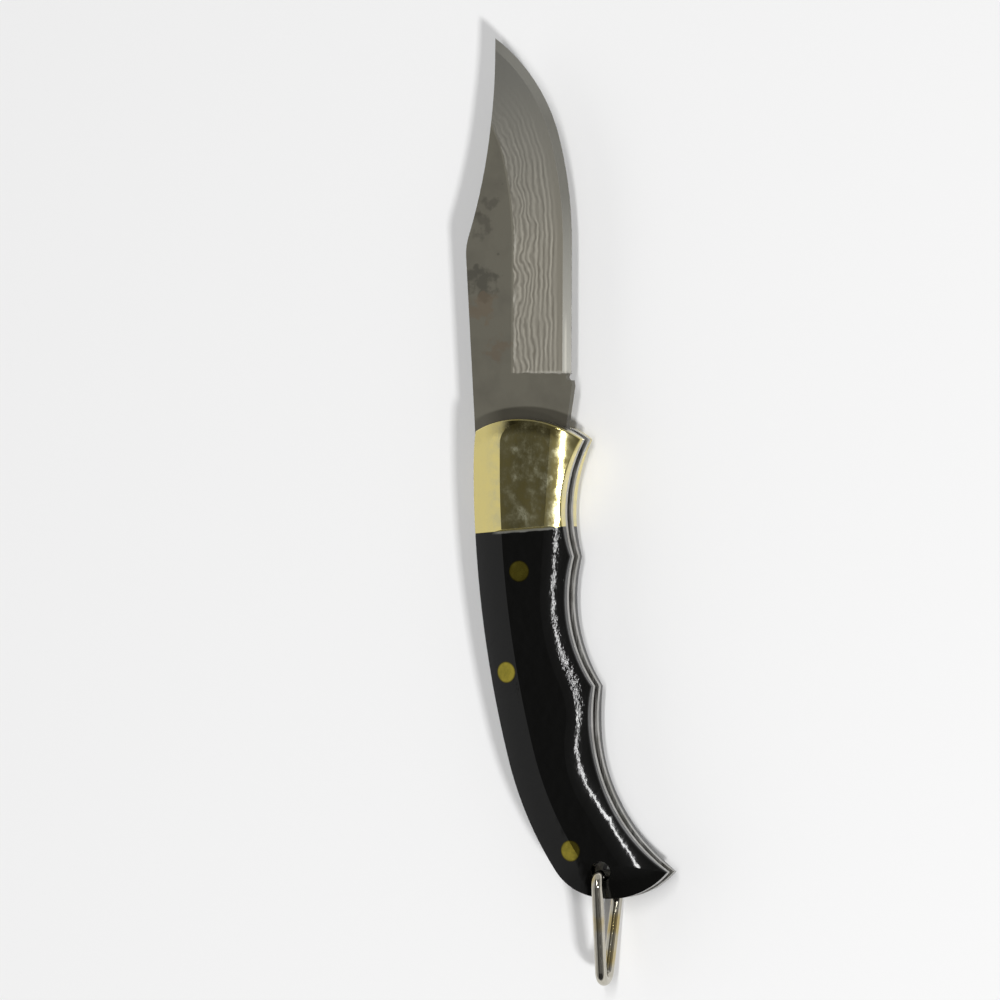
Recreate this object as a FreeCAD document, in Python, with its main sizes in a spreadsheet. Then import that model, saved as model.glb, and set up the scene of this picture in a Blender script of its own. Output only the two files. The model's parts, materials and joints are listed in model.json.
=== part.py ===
import FreeCAD, Part
import math
import os
import Sketcher
from FreeCAD import Rotation, Vector

# Folding pocket knife with a clip-point blade, brass bolsters, black scales and a wire bail.
# The model is drawn with the blade pivot at x = y = 0 and the middle of the blade at z = 0:
# x runs along the knife to the tip, y towards its spine and z towards its upper side.
# Every finished piece is then moved by the same shift, which puts the origin under the
# middle of the whole knife as it lies on its lower side.

doc = FreeCAD.newDocument("folding_knife")
sheet = doc.addObject("Spreadsheet::Sheet", "Sizes")

# Driving dimensions in millimetres, or in degrees where the name ends in angle, slant or lean.
# A share is a plain number. A setback is measured forwards from the tip of the butt, and a run
# backwards, so that what sits at the butt moves with it.
DIMENSIONS = {
    # layers of the handle, from the blade outwards
    "blade_thickness": 2.1,
    "side_play": 0.03,
    "washer_thickness": 0.15,
    "liner_thickness": 1.1,
    "scale_thickness": 2.8,
    # outline of the handle: spine, butt, belly with its finger grooves, front
    "spine_front_x": 4.4,
    "spine_front_y": 10.0,
    "crest_x": -2.0,
    "crest_y": 10.45,
    "spine_join_setback": 20.85,
    "spine_join_y": 3.2,
    "butt_start_y": -6.2,
    "butt_turn_run": 4.35,
    "butt_turn_y": -11.8,
    "butt_tip_x": -78.85,
    "butt_tip_y": -28.5,
    "rear_peak_x": -43.9,
    "rear_peak_y": -13.5,
    "front_peak_x": -19.4,
    "front_peak_y": -9.2,
    "guard_x": 2.85,
    "guard_y": -11.3,
    "rear_groove_radius": 35.6,
    "middle_groove_radius": 29.4,
    "front_groove_radius": 27.6,
    "bolster_front_radius": 20.4,
    # outer faces: rolled off along front and spine, crowned along the belly, edges rounded
    "spine_roll_width": 6.0,
    "spine_roll_drop": 2.2,
    "spine_roll_radius": 17.0,
    "front_band": 0.9,
    "crease_corner_radius": 3.7,
    "crown_width": 7.5,
    "crown_drop": 3.0,
    "crown_radius": 12.0,
    "crown_front_x": 8.0,
    "crown_front_y": -5.9,
    "crown_bend_x": -24.0,
    "crown_bend_y": -3.8,
    "crown_peak_x": -43.5,
    "crown_peak_y": -7.6,
    "crown_groove_setback": 26.85,
    "crown_groove_y": -8.9,
    "crown_heel_setback": 12.85,
    "crown_heel_y": -11.9,
    "crown_butt_run": 0.65,
    "crown_butt_y": -21.0,
    "front_round": 0.4,
    "groove_round": 0.5,
    # joint between bolster and scale
    "joint_x": -14.3,
    "joint_slant": 4.5,
    "groove_depth": 0.3,
    # pins, rivets and their fits
    "pin_radius": 2.0,
    "pivot_radius": 2.2,
    "rivet_radius": 1.2,
    "fixed_gap": 0.01,
    "pivot_gap": 0.04,
    "scale_pin_x": -22.2,
    "scale_pin_y": 0.5,
    "spring_pin_x": -41.4,
    "spring_pin_y": 3.2,
    "end_pin_setback": 3.8,
    "end_pin_y": -9.9,
    "rivet_x": -9.5,
    "rivet_upper_y": 2.6,
    "rivet_lower_y": -3.6,
    "washer_radius": 4.8,
    # blade
    "tip_x": 79.2,
    "tip_y": 7.4,
    "clip_x": 39.6,
    "clip_y": 12.9,
    "clip_radius": 110.0,
    "clip_corner_round": 10.0,
    "blade_spine_y": 10.7,
    "edge_y": -8.1,
    "edge_straight_x": 40.0,
    "belly_curve_x": 60.0,
    "belly_curve_y": -5.55,
    "choil_x": 14.7,
    "choil_radius": 0.7,
    "kick_x": 13.1,
    "kick_y": -8.6,
    "ricasso_x": 5.7,
    "ricasso_y": -7.5,
    "grind_width": 11.7,
    "edge_bevel_width": 1.7,
    "edge_shoulder": 0.7,
    "edge_land": 0.08,
    "grind_run_share": 1.1,
    # tang and back spring
    "tang_back": 7.0,
    "tang_flat_half": 2.4,
    "fold_angle": 169.0,
    "tang_gap": 0.03,
    "nose_x": 2.0,
    "nose_gap": 0.12,
    "spring_bend_x": -13.0,
    "spring_neck_x": -36.0,
    "spring_neck_y": 2.6,
    "spring_wall": 0.6,
    "spring_waist_x": -48.0,
    "spring_waist_y": 0.3,
    "spring_rear_setback": 12.85,
    "spring_rear_y": -4.0,
    "spring_foot_setback": 7.35,
    "spring_foot_y": -12.0,
    "spring_toe_setback": 3.45,
    "spring_toe_y": -18.0,
    "spring_end_y": -21.0,
    # bail and its hole
    "bail_hole_y": -15.9,
    "bail_hole_radius": 1.95,
    "wire_radius": 1.1,
    "bail_seat_gap": 0.05,
    "bail_side_gap": 0.35,
    "bail_reach": 21.9,
    "bail_corner_radius": 1.5,
    "bail_end_radius": 2.3,
    "bail_split": 0.6,
    "bail_lean": -2.1,
    # how far cutting shapes run past what they cut
    "overrun": 5.0,
    "cut_reach": 120.0,
}


class Size:
    """A number together with the spreadsheet expression that gives it."""

    def __init__(self, value, text):
        self.value = value
        self.text = text

    def joined(self, other, sign, value):
        text = other.text if isinstance(other, Size) else repr(other)
        return Size(value, f"({self.text} {sign} {text})")

    def __add__(self, other):
        return self.joined(other, "+", self.value + plain(other))

    def __sub__(self, other):
        return self.joined(other, "-", self.value - plain(other))

    def __mul__(self, other):
        return self.joined(other, "*", self.value * plain(other))

    def __truediv__(self, other):
        return self.joined(other, "/", self.value / plain(other))

    def __neg__(self):
        return Size(-self.value, f"(-{self.text})")


def plain(number):
    return number.value if isinstance(number, Size) else number


def cosine(angle):
    return Size(math.cos(math.radians(angle.value)), f"cos({angle.text})")


def sine(angle):
    return Size(math.sin(math.radians(angle.value)), f"sin({angle.text})")


def root(square):
    return Size(math.sqrt(square.value), f"sqrt({square.text})")


class NamedSizes:
    """The driving dimensions as attributes, each bound to its own spreadsheet cell."""

    def __init__(self, dimensions):
        for row, (name, value) in enumerate(dimensions.items(), start=1):
            sheet.set(f"A{row}", name)
            sheet.set(f"B{row}", str(value))
            sheet.setAlias(f"B{row}", name)
            setattr(self, name, Size(value, f"Sizes.{name}"))


size = NamedSizes(DIMENSIONS)
doc.recompute()

# Heights of the layers above the middle of the blade
blade_half = size.blade_thickness / 2
slot_half = blade_half + size.side_play + size.washer_thickness
liner_face = slot_half + size.liner_thickness
handle_half = liner_face + size.scale_thickness
bail_half = handle_half + size.bail_side_gap + size.wire_radius

# Places that follow the tip of the butt: the bail's hole lies straight across from it
bail_hole_x = size.butt_tip_x
end_pin_x = size.butt_tip_x + size.end_pin_setback
spine_join_x = size.butt_tip_x + size.spine_join_setback

# Shift from the pivot's frame to the finished frame
bail_end_centre = size.bail_reach - size.wire_radius - size.bail_end_radius
bail_end_x = bail_hole_x - bail_end_centre * cosine(size.bail_lean)
bail_end_x = bail_end_x - size.bail_end_radius - size.wire_radius
shift_x = -(size.tip_x + bail_end_x) / 2
shift_y = -(size.clip_y + size.butt_tip_y) / 2
shift_z = bail_half + size.wire_radius


def bind(thing, path, value):
    thing.setExpression(path, value.text)


def place(thing, x=None, y=None, z=None):
    """Put a finished piece in the finished frame, at x, y and z from the pivot."""
    bind(thing, "Placement.Base.x", shift_x if x is None else shift_x + x)
    bind(thing, "Placement.Base.y", shift_y if y is None else shift_y + y)
    bind(thing, "Placement.Base.z", shift_z if z is None else shift_z + z)


class Pen:
    """Draws one chain of lines and arcs in a sketch, with every size bound to the sheet."""

    def __init__(self, sketch, x, y):
        self.sketch = sketch
        self.start = (x, y)
        self.here = Vector(plain(x), plain(y), 0)
        self.heading = None
        self.first = None
        self.last = None

    def constrain(self, kind, *items):
        value = items[-1]
        numbers = [plain(item) for item in items]
        index = self.sketch.addConstraint(Sketcher.Constraint(kind, *numbers))
        if isinstance(value, Size):
            bind(self.sketch, f"Constraints[{index}]", value)

    def pin(self, geometry, point, x, y):
        self.constrain("DistanceX", -1, 1, geometry, point, x)
        self.constrain("DistanceY", -1, 1, geometry, point, y)

    def add(self, curve, begin, end, tangent, x=None, y=None):
        geometry = self.sketch.addGeometry(curve, False)
        if self.last is None:
            self.first = (geometry, begin)
            self.pin(geometry, begin, *self.start)
        else:
            self.constrain("Tangent" if tangent else "Coincident", *self.last, geometry, begin)
        self.last = (geometry, end)
        if x is not None and (plain(x), plain(y)) == (plain(self.start[0]), plain(self.start[1])):
            self.constrain("Coincident", geometry, end, *self.first)
        elif x is not None:
            self.pin(geometry, end, x, y)
        return geometry

    def line(self, x, y):
        target = Vector(plain(x), plain(y), 0)
        self.add(Part.LineSegment(self.here, target), 1, 2, False, x, y)
        self.heading = (target - self.here).normalize()
        self.here = target

    def run_on(self, length):
        """A straight run on from the last arc, without a kink."""
        target = self.here + self.heading * length.value
        geometry = self.add(Part.LineSegment(self.here, target), 1, 2, True)
        self.constrain("Distance", geometry, length)
        self.here = target

    def curve_to(self, x, y, centre, left, tangent):
        target = Vector(plain(x), plain(y), 0)
        circle = Part.Circle(centre, Vector(0, 0, 1), (self.here - centre).Length)
        spans = [math.atan2(p.y - centre.y, p.x - centre.x) for p in (self.here, target)]
        ends = (1, 2) if left else (2, 1)
        curve = Part.ArcOfCircle(circle, *(spans if left else reversed(spans)))
        geometry = self.add(curve, *ends, tangent, x, y)
        spoke = (target - centre).normalize()
        self.heading = Vector(-spoke.y, spoke.x, 0) if left else Vector(spoke.y, -spoke.x, 0)
        self.here = target
        return geometry

    def arc(self, x, y, radius, left=True):
        """An arc of a given radius, turning left or right, of less than half a turn."""
        chord = Vector(plain(x), plain(y), 0) - self.here
        depth = math.sqrt(radius.value ** 2 - (chord.Length / 2) ** 2)
        side = Vector(-chord.y, chord.x, 0).normalize() * (depth if left else -depth)
        geometry = self.curve_to(x, y, self.here + chord / 2 + side, left, False)
        self.constrain("Radius", geometry, radius)

    def smooth(self, x, y):
        """An arc that leaves the last piece of the chain without a kink."""
        chord = Vector(plain(x), plain(y), 0) - self.here
        side = Vector(-self.heading.y, self.heading.x, 0)
        reach = chord.Length ** 2 / (2 * chord.dot(side))
        self.curve_to(x, y, self.here + side * reach, reach > 0, True)


def circle(sketch, x, y, radius):
    ring = Part.Circle(Vector(plain(x), plain(y), 0), Vector(0, 0, 1), radius.value)
    pen = Pen(sketch, x, y)
    geometry = sketch.addGeometry(ring, False)
    pen.constrain("Radius", geometry, radius)
    for kind, value in (("DistanceX", x), ("DistanceY", y)):
        if plain(value):
            pen.constrain(kind, -1, 1, geometry, 3, value)
        else:
            axis = -2 if kind == "DistanceX" else -1
            pen.constrain("PointOnObject", geometry, 3, axis)


def new_body(name):
    body = doc.addObject("PartDesign::Body", name)
    body.Label = name
    return body


def new_sketch(body, name, role="XY_Plane", lift=None):
    sketch = body.newObject("Sketcher::SketchObject", name)
    plane = [item for item in body.Origin.OriginFeatures if item.Role == role][0]
    sketch.AttachmentSupport = [(plane, "")]
    sketch.MapMode = "FlatFace"
    if lift is not None:
        bind(sketch, "AttachmentOffset.Base.z", lift)
    return sketch


def pad(body, sketch, length):
    feature = body.newObject("PartDesign::Pad", f"{sketch.Name}_pad")
    feature.Profile = sketch
    bind(feature, "Length", length)
    doc.recompute()
    return feature


def pocket(body, sketch):
    """Cut a sketch right through the solid that lies above it."""
    before = body.Shape.Volume
    feature = body.newObject("PartDesign::Pocket", f"{sketch.Name}_pocket")
    feature.Profile = sketch
    feature.Type = "ThroughAll"
    feature.Reversed = True
    doc.recompute()
    if not body.Shape.Volume < before:
        raise RuntimeError(f"{feature.Name} cuts nothing")


def pipe(body, kind, profile, path, count):
    feature = body.newObject(f"PartDesign::{kind}", f"{profile.Name}_pipe")
    feature.Profile = profile
    feature.Spine = (path, [f"Edge{index}" for index in range(1, count + 1)])
    doc.recompute()
    return feature


def level_radius(dx, dy):
    """Radius of an arc over dx and dy that is level at its upper end."""
    return (dx * dx + dy * dy) / (dy * 2)


spine_arc_radius = level_radius(size.crest_x - spine_join_x, size.crest_y - size.spine_join_y)


def draw_spine(pen):
    pen.arc(spine_join_x, size.spine_join_y, spine_arc_radius)
    pen.smooth(size.butt_tip_x, size.butt_start_y)
    pen.smooth(size.butt_tip_x - size.butt_turn_run, size.butt_turn_y)
    pen.smooth(size.butt_tip_x, size.butt_tip_y)


def draw_handle(sketch):
    """The handle's whole outline, which liners, scales, bolsters and spring share."""
    nose_drop = level_radius(size.spine_front_x - size.crest_x, size.crest_y - size.spine_front_y)
    pen = Pen(sketch, size.spine_front_x, size.spine_front_y)
    pen.arc(size.crest_x, size.crest_y, nose_drop)
    draw_spine(pen)
    pen.arc(size.rear_peak_x, size.rear_peak_y, size.rear_groove_radius, left=False)
    pen.arc(size.front_peak_x, size.front_peak_y, size.middle_groove_radius, left=False)
    pen.arc(size.guard_x, size.guard_y, size.front_groove_radius, left=False)
    pen.arc(size.spine_front_x, size.spine_front_y, size.bolster_front_radius)


def arc_centre(start, end, radius, left):
    """Centre of an arc from start to end, of a given radius and turning left or right."""
    dx = end[0] - start[0]
    dy = end[1] - start[1]
    length = root(dx * dx + dy * dy)
    depth = root(radius * radius - length * length / 4)
    lean_x = dy * depth / length
    lean_y = dx * depth / length
    middle_x = (start[0] + end[0]) / 2
    middle_y = (start[1] + end[1]) / 2
    if left:
        return middle_x - lean_x, middle_y + lean_y
    return middle_x + lean_x, middle_y - lean_y


spine_front = (size.spine_front_x, size.spine_front_y)
butt_tip = (size.butt_tip_x, size.butt_tip_y)
rear_peak = (size.rear_peak_x, size.rear_peak_y)
front_peak = (size.front_peak_x, size.front_peak_y)
guard = (size.guard_x, size.guard_y)
front_centre = arc_centre(guard, spine_front, size.bolster_front_radius, True)
front_walls = [(front_centre, size.bolster_front_radius)]
groove_walls = [
    (arc_centre(butt_tip, rear_peak, size.rear_groove_radius, False), size.rear_groove_radius),
    (arc_centre(rear_peak, front_peak, size.middle_groove_radius, False), size.middle_groove_radius),
    (arc_centre(front_peak, guard, size.front_groove_radius, False), size.front_groove_radius),
]


def wall_edges(shape, walls):
    """Names of the edges where the outer face meets upright walls, given by centre and radius."""
    names = []
    for index, edge in enumerate(shape.Edges, start=1):
        first, last = [edge.valueAt(value) for value in edge.ParameterRange]
        upright = math.hypot(first.x - last.x, first.y - last.y) < size.fixed_gap.value
        if upright or edge.CenterOfMass.z < slot_half.value:
            continue
        for (x, y), radius in walls:
            reaches = [math.hypot(p.x - x.value, p.y - y.value) for p in (first, last)]
            if max(abs(reach - radius.value) for reach in reaches) < size.fixed_gap.value:
                names.append(f"Edge{index}")
    return names


def round_edges(body, feature, names, radius, name):
    fillet = body.newObject("PartDesign::Fillet", name)
    fillet.Base = (feature, names)
    bind(fillet, "Radius", radius)
    doc.recompute()
    return fillet


def draw_roll_path(path):
    """Outer side of the roll-off: along the front, round the corner and down the spine."""
    centre_x, centre_y = front_centre
    front_radius = size.bolster_front_radius - size.front_band + size.spine_roll_width
    corner_radius = size.crease_corner_radius + size.spine_roll_width
    reach = front_radius - corner_radius
    rise = size.crest_y - corner_radius - centre_y
    run = root(reach * reach - rise * rise)
    start_y = size.guard_y - size.overrun
    fall = start_y - centre_y
    start_x = centre_x + root(front_radius * front_radius - fall * fall)
    turn = front_radius / reach
    pen = Pen(path, start_x, start_y)
    pen.arc(centre_x + run * turn, centre_y + rise * turn, front_radius)
    pen.smooth(centre_x + run, size.crest_y)
    pen.line(size.crest_x, size.crest_y)
    draw_spine(pen)
    pen.run_on(size.overrun)


def draw_crown_path(path):
    """Where the outer face starts to curve down to the belly: smoother than the grooves."""
    pen = Pen(path, size.crown_front_x, size.crown_front_y)
    pen.line(size.crown_bend_x, size.crown_bend_y)
    pen.smooth(size.crown_peak_x, size.crown_peak_y)
    pen.smooth(size.butt_tip_x + size.crown_groove_setback, size.crown_groove_y)
    pen.smooth(size.butt_tip_x + size.crown_heel_setback, size.crown_heel_y)
    pen.smooth(size.butt_tip_x - size.crown_butt_run, size.crown_butt_y)
    pen.run_on(size.overrun)


def draw_roll(sketch, inner_y, foot_y, drop, radius, outer_y):
    """Section of what a roll-off takes away: under an arc from the outer face down to its foot."""
    foot_z = handle_half - drop
    top_z = handle_half + size.overrun
    pen = Pen(sketch, inner_y, handle_half)
    pen.arc(foot_y, foot_z, radius, left=foot_y.value < inner_y.value)
    pen.line(outer_y, foot_z)
    pen.line(outer_y, top_z)
    pen.line(inner_y, top_z)
    pen.line(inner_y, handle_half)


def make_handle_form():
    """Upper half of the handle without its slot: the outline, rolled off along front and spine,
    crowned along the belly and with its edges rounded."""
    body = new_body("handle_form")
    outline = new_sketch(body, "form_outline")
    draw_handle(outline)
    pad(body, outline, handle_half)

    path = new_sketch(body, "roll_path")
    draw_roll_path(path)
    roll = new_sketch(body, "spine_roll", "YZ_Plane", size.crest_x)
    inner_y = size.crest_y - size.spine_roll_width
    outer_y = size.crest_y + size.overrun
    draw_roll(roll, inner_y, size.crest_y, size.spine_roll_drop, size.spine_roll_radius, outer_y)
    pipe(body, "SubtractivePipe", roll, path, 8)

    path = new_sketch(body, "crown_path")
    draw_crown_path(path)
    crown = new_sketch(body, "belly_crown", "YZ_Plane", size.crown_front_x)
    foot_y = size.crown_front_y - size.crown_width
    outer_y = foot_y - size.overrun
    draw_roll(crown, size.crown_front_y, foot_y, size.crown_drop, size.crown_radius, outer_y)
    crowned = pipe(body, "SubtractivePipe", crown, path, 6)
    names = wall_edges(crowned.Shape, groove_walls)
    rounded = round_edges(body, crowned, names, size.groove_round, "groove_rounding")
    names = wall_edges(rounded.Shape, front_walls)
    round_edges(body, rounded, names, size.front_round, "front_rounding")
    return body


def drill(name, x, y, radius, low, height):
    """A plain cylinder, either a pin or the tool that drills its hole."""
    cylinder = doc.addObject("Part::Cylinder", name)
    bind(cylinder, "Radius", radius)
    bind(cylinder, "Height", height)
    if isinstance(x, Size):
        bind(cylinder, "Placement.Base.x", x)
        bind(cylinder, "Placement.Base.y", y)
    bind(cylinder, "Placement.Base.z", low)
    return cylinder


def combine(kind, name, base, tool):
    result = doc.addObject(f"Part::{kind}", name)
    result.Base = base
    result.Tool = tool
    result.Label = name
    return result


def fuse(name, things):
    result = doc.addObject("Part::MultiFuse", name)
    result.Shapes = things
    return result


def joint_block(name, behind):
    """The space behind the slanted joint of bolster and scale, or the space ahead of it."""
    block = doc.addObject("Part::Box", name)
    bind(block, "Length", size.cut_reach)
    bind(block, "Width", size.cut_reach * 2)
    bind(block, "Height", size.scale_thickness + size.overrun)
    back_x = size.joint_x + size.cut_reach * sine(size.joint_slant)
    back_y = -size.cut_reach * cosine(size.joint_slant)
    if behind:
        back_x = back_x - size.cut_reach * cosine(size.joint_slant)
        back_y = back_y - size.cut_reach * sine(size.joint_slant)
    bind(block, "Placement.Base.x", back_x)
    bind(block, "Placement.Base.y", back_y)
    bind(block, "Placement.Base.z", liner_face)
    block.Placement.Rotation = Rotation(Vector(0, 0, 1), 0)
    bind(block, "Placement.Rotation.Angle", size.joint_slant)
    return block


def mirrored(name, source):
    """The same piece on the lower side of the knife."""
    twin = doc.addObject("Part::Mirroring", name)
    twin.Source = source
    twin.Normal = Vector(0, 0, 1)
    twin.Label = name
    return twin


def lower_twin(name, source):
    twin = mirrored(name, source)
    bind(twin, "Base.z", shift_z)
    return twin


scale_holes = [
    ("scale_pin", size.scale_pin_x, size.scale_pin_y, size.pin_radius + size.fixed_gap),
    ("spring_pin", size.spring_pin_x, size.spring_pin_y, size.pin_radius + size.fixed_gap),
    ("end_pin", end_pin_x, size.end_pin_y, size.pin_radius + size.fixed_gap),
    ("bail", bail_hole_x, size.bail_hole_y, size.bail_hole_radius),
]
bolster_holes = [
    ("pivot", None, None, size.pivot_radius + size.fixed_gap),
    ("upper_rivet", size.rivet_x, size.rivet_upper_y, size.rivet_radius + size.fixed_gap),
    ("lower_rivet", size.rivet_x, size.rivet_lower_y, size.rivet_radius + size.fixed_gap),
]
drill_length = handle_half + size.overrun


def make_joint_groove():
    """The fine V-shaped groove that breaks the edges of bolster and scale where they meet."""
    body = new_body("joint_groove")
    section = new_sketch(body, "groove_section", "XZ_Plane")
    top_z = handle_half - size.groove_depth + size.overrun
    pen = Pen(section, size.overrun, top_z)
    pen.line(-size.overrun, top_z)
    pen.line(0, handle_half - size.groove_depth)
    pen.line(size.overrun, top_z)
    groove = pad(body, section, size.cut_reach)
    groove.SideType = "Symmetric"
    body.Placement.Rotation = Rotation(Vector(0, 0, 1), 0)
    bind(body, "Placement.Rotation.Angle", size.joint_slant)
    bind(body, "Placement.Base.x", size.joint_x)
    return body


def cover(name, form, block, groove, holes):
    """A bolster or a scale: its share of the handle form, grooved and drilled for its pins."""
    blank = combine("Common", f"{name}_blank", form, block)
    cuts = [groove]
    for hole, x, y, radius in holes:
        cuts.append(drill(f"{name}_{hole}_drill", x, y, radius, slot_half, drill_length))
    piece = combine("Cut", name, blank, fuse(f"{name}_cuts", cuts))
    place(piece)
    return piece


def make_liner():
    body = new_body("upper_liner")
    outline = new_sketch(body, "liner_outline")
    draw_handle(outline)
    pad(body, outline, size.liner_thickness)
    holes = new_sketch(body, "liner_holes")
    for name, x, y, radius in scale_holes + bolster_holes:
        circle(holes, 0 if x is None else x, 0 if y is None else y, radius)
    pocket(body, holes)
    place(body, z=slot_half)
    return body


def make_back_spring():
    """The spring fills the slot along the spine; its nose presses on the tang's flat."""
    body = new_body("back_spring")
    outline = new_sketch(body, "spring_outline")
    draw_handle(outline)
    pad(body, outline, size.blade_thickness)
    hollow = new_sketch(body, "spring_hollow")
    contact_y = size.tang_back + size.tang_gap
    boss_y = size.spring_pin_y - size.pin_radius - size.spring_wall
    pen = Pen(hollow, size.nose_x, contact_y)
    pen.line(size.spring_bend_x, contact_y)
    pen.line(size.spring_neck_x, size.spring_neck_y)
    pen.line(size.spring_pin_x, boss_y)
    pen.line(size.spring_waist_x, size.spring_waist_y)
    pen.line(size.butt_tip_x + size.spring_rear_setback, size.spring_rear_y)
    pen.line(size.butt_tip_x + size.spring_foot_setback, size.spring_foot_y)
    pen.line(size.butt_tip_x + size.spring_toe_setback, size.spring_toe_y)
    pen.line(-size.cut_reach, size.spring_end_y)
    pen.line(-size.cut_reach, -size.cut_reach)
    pen.line(size.cut_reach, -size.cut_reach)
    pen.line(size.cut_reach, size.cut_reach)
    pen.line(size.nose_x, size.cut_reach)
    pen.line(size.nose_x, contact_y)
    pocket(body, hollow)
    holes = new_sketch(body, "spring_holes")
    for name, x, y, radius in scale_holes[1:]:
        circle(holes, x, y, radius)
    pocket(body, holes)
    place(body, z=-blade_half)
    return body


def tang_point(along):
    """A point of the flat that meets the spring when the blade is folded away."""
    x = -size.tang_back * sine(size.fold_angle) - along * cosine(size.fold_angle)
    y = size.tang_back * cosine(size.fold_angle) - along * sine(size.fold_angle)
    return x, y


def draw_edge(pen):
    """The sharp edge from the heel's straight stretch round the belly to the tip."""
    pen.line(size.edge_straight_x, size.edge_y)
    pen.smooth(size.belly_curve_x, size.belly_curve_y)
    pen.smooth(size.tip_x, size.tip_y)


def draw_grind(sketch, sign):
    """What grinding takes off one side: the long bevel and, along the edge, a steeper one."""
    land_z = size.edge_land / 2
    shoulder_z = size.edge_shoulder / 2
    outer_y = size.edge_y - size.overrun
    shoulder_y = size.edge_y + size.edge_bevel_width
    top_y = shoulder_y + (size.grind_width - size.edge_bevel_width) * size.grind_run_share
    top_z = shoulder_z + (blade_half - shoulder_z) * size.grind_run_share
    pen = Pen(sketch, outer_y, land_z * sign)
    pen.line(size.edge_y, land_z * sign)
    pen.line(shoulder_y, shoulder_z * sign)
    pen.line(top_y, top_z * sign)
    pen.line(outer_y, top_z * sign)
    pen.line(outer_y, land_z * sign)


def upright_edge(shape, x, y):
    """Name of the edge that stands upright at x and y."""
    for index, edge in enumerate(shape.Edges, start=1):
        points = [vertex.Point for vertex in edge.Vertexes]
        if all(math.hypot(p.x - x.value, p.y - y.value) < size.fixed_gap.value for p in points):
            return f"Edge{index}"
    raise RuntimeError("no upright edge there")


def make_blade():
    """Clip-point blade with its tang, choil notch, ground bevels and sharpened edge."""
    body = new_body("blade")
    outline = new_sketch(body, "blade_outline", lift=-blade_half)
    shoulder_x = size.nose_x + size.nose_gap
    heel_x = size.choil_x + size.choil_radius
    cam_radius = root(size.tang_back * size.tang_back + size.tang_flat_half * size.tang_flat_half)
    pen = Pen(outline, shoulder_x, size.tang_back)
    pen.line(-size.tang_flat_half, size.tang_back)
    pen.arc(-cam_radius, size.pivot_gap, cam_radius)
    pen.arc(*tang_point(-size.tang_flat_half), cam_radius)
    pen.line(*tang_point(size.tang_flat_half))
    pen.line(size.ricasso_x, size.ricasso_y)
    pen.line(size.kick_x, size.kick_y)
    pen.line(heel_x, size.edge_y)
    draw_edge(pen)
    pen.arc(size.clip_x, size.clip_y, size.clip_radius, left=False)
    pen.line(shoulder_x, size.blade_spine_y)
    pen.line(shoulder_x, size.tang_back)
    blank = pad(body, outline, size.blade_thickness)
    corner = upright_edge(blank.Shape, size.clip_x, size.clip_y)
    round_edges(body, blank, [corner], size.clip_corner_round, "clip_corner")

    holes = new_sketch(body, "blade_holes", lift=-blade_half)
    circle(holes, 0, 0, size.pivot_radius + size.pivot_gap)
    circle(holes, size.choil_x, size.edge_y, size.choil_radius)
    pocket(body, holes)

    path = new_sketch(body, "edge_path")
    pen = Pen(path, heel_x, size.edge_y)
    draw_edge(pen)
    pen.run_on(size.overrun)
    for side, sign in (("upper", 1), ("lower", -1)):
        profile = new_sketch(body, f"{side}_grind", "YZ_Plane", heel_x)
        draw_grind(profile, sign)
        pipe(body, "SubtractivePipe", profile, path, 4)
    place(body)
    return body


def make_washer():
    body = new_body("upper_washer")
    ring = new_sketch(body, "washer_ring")
    circle(ring, 0, 0, size.washer_radius)
    circle(ring, 0, 0, size.pivot_radius + size.pivot_gap)
    pad(body, ring, size.washer_thickness)
    place(body, z=slot_half - size.washer_thickness)
    return body


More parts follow.
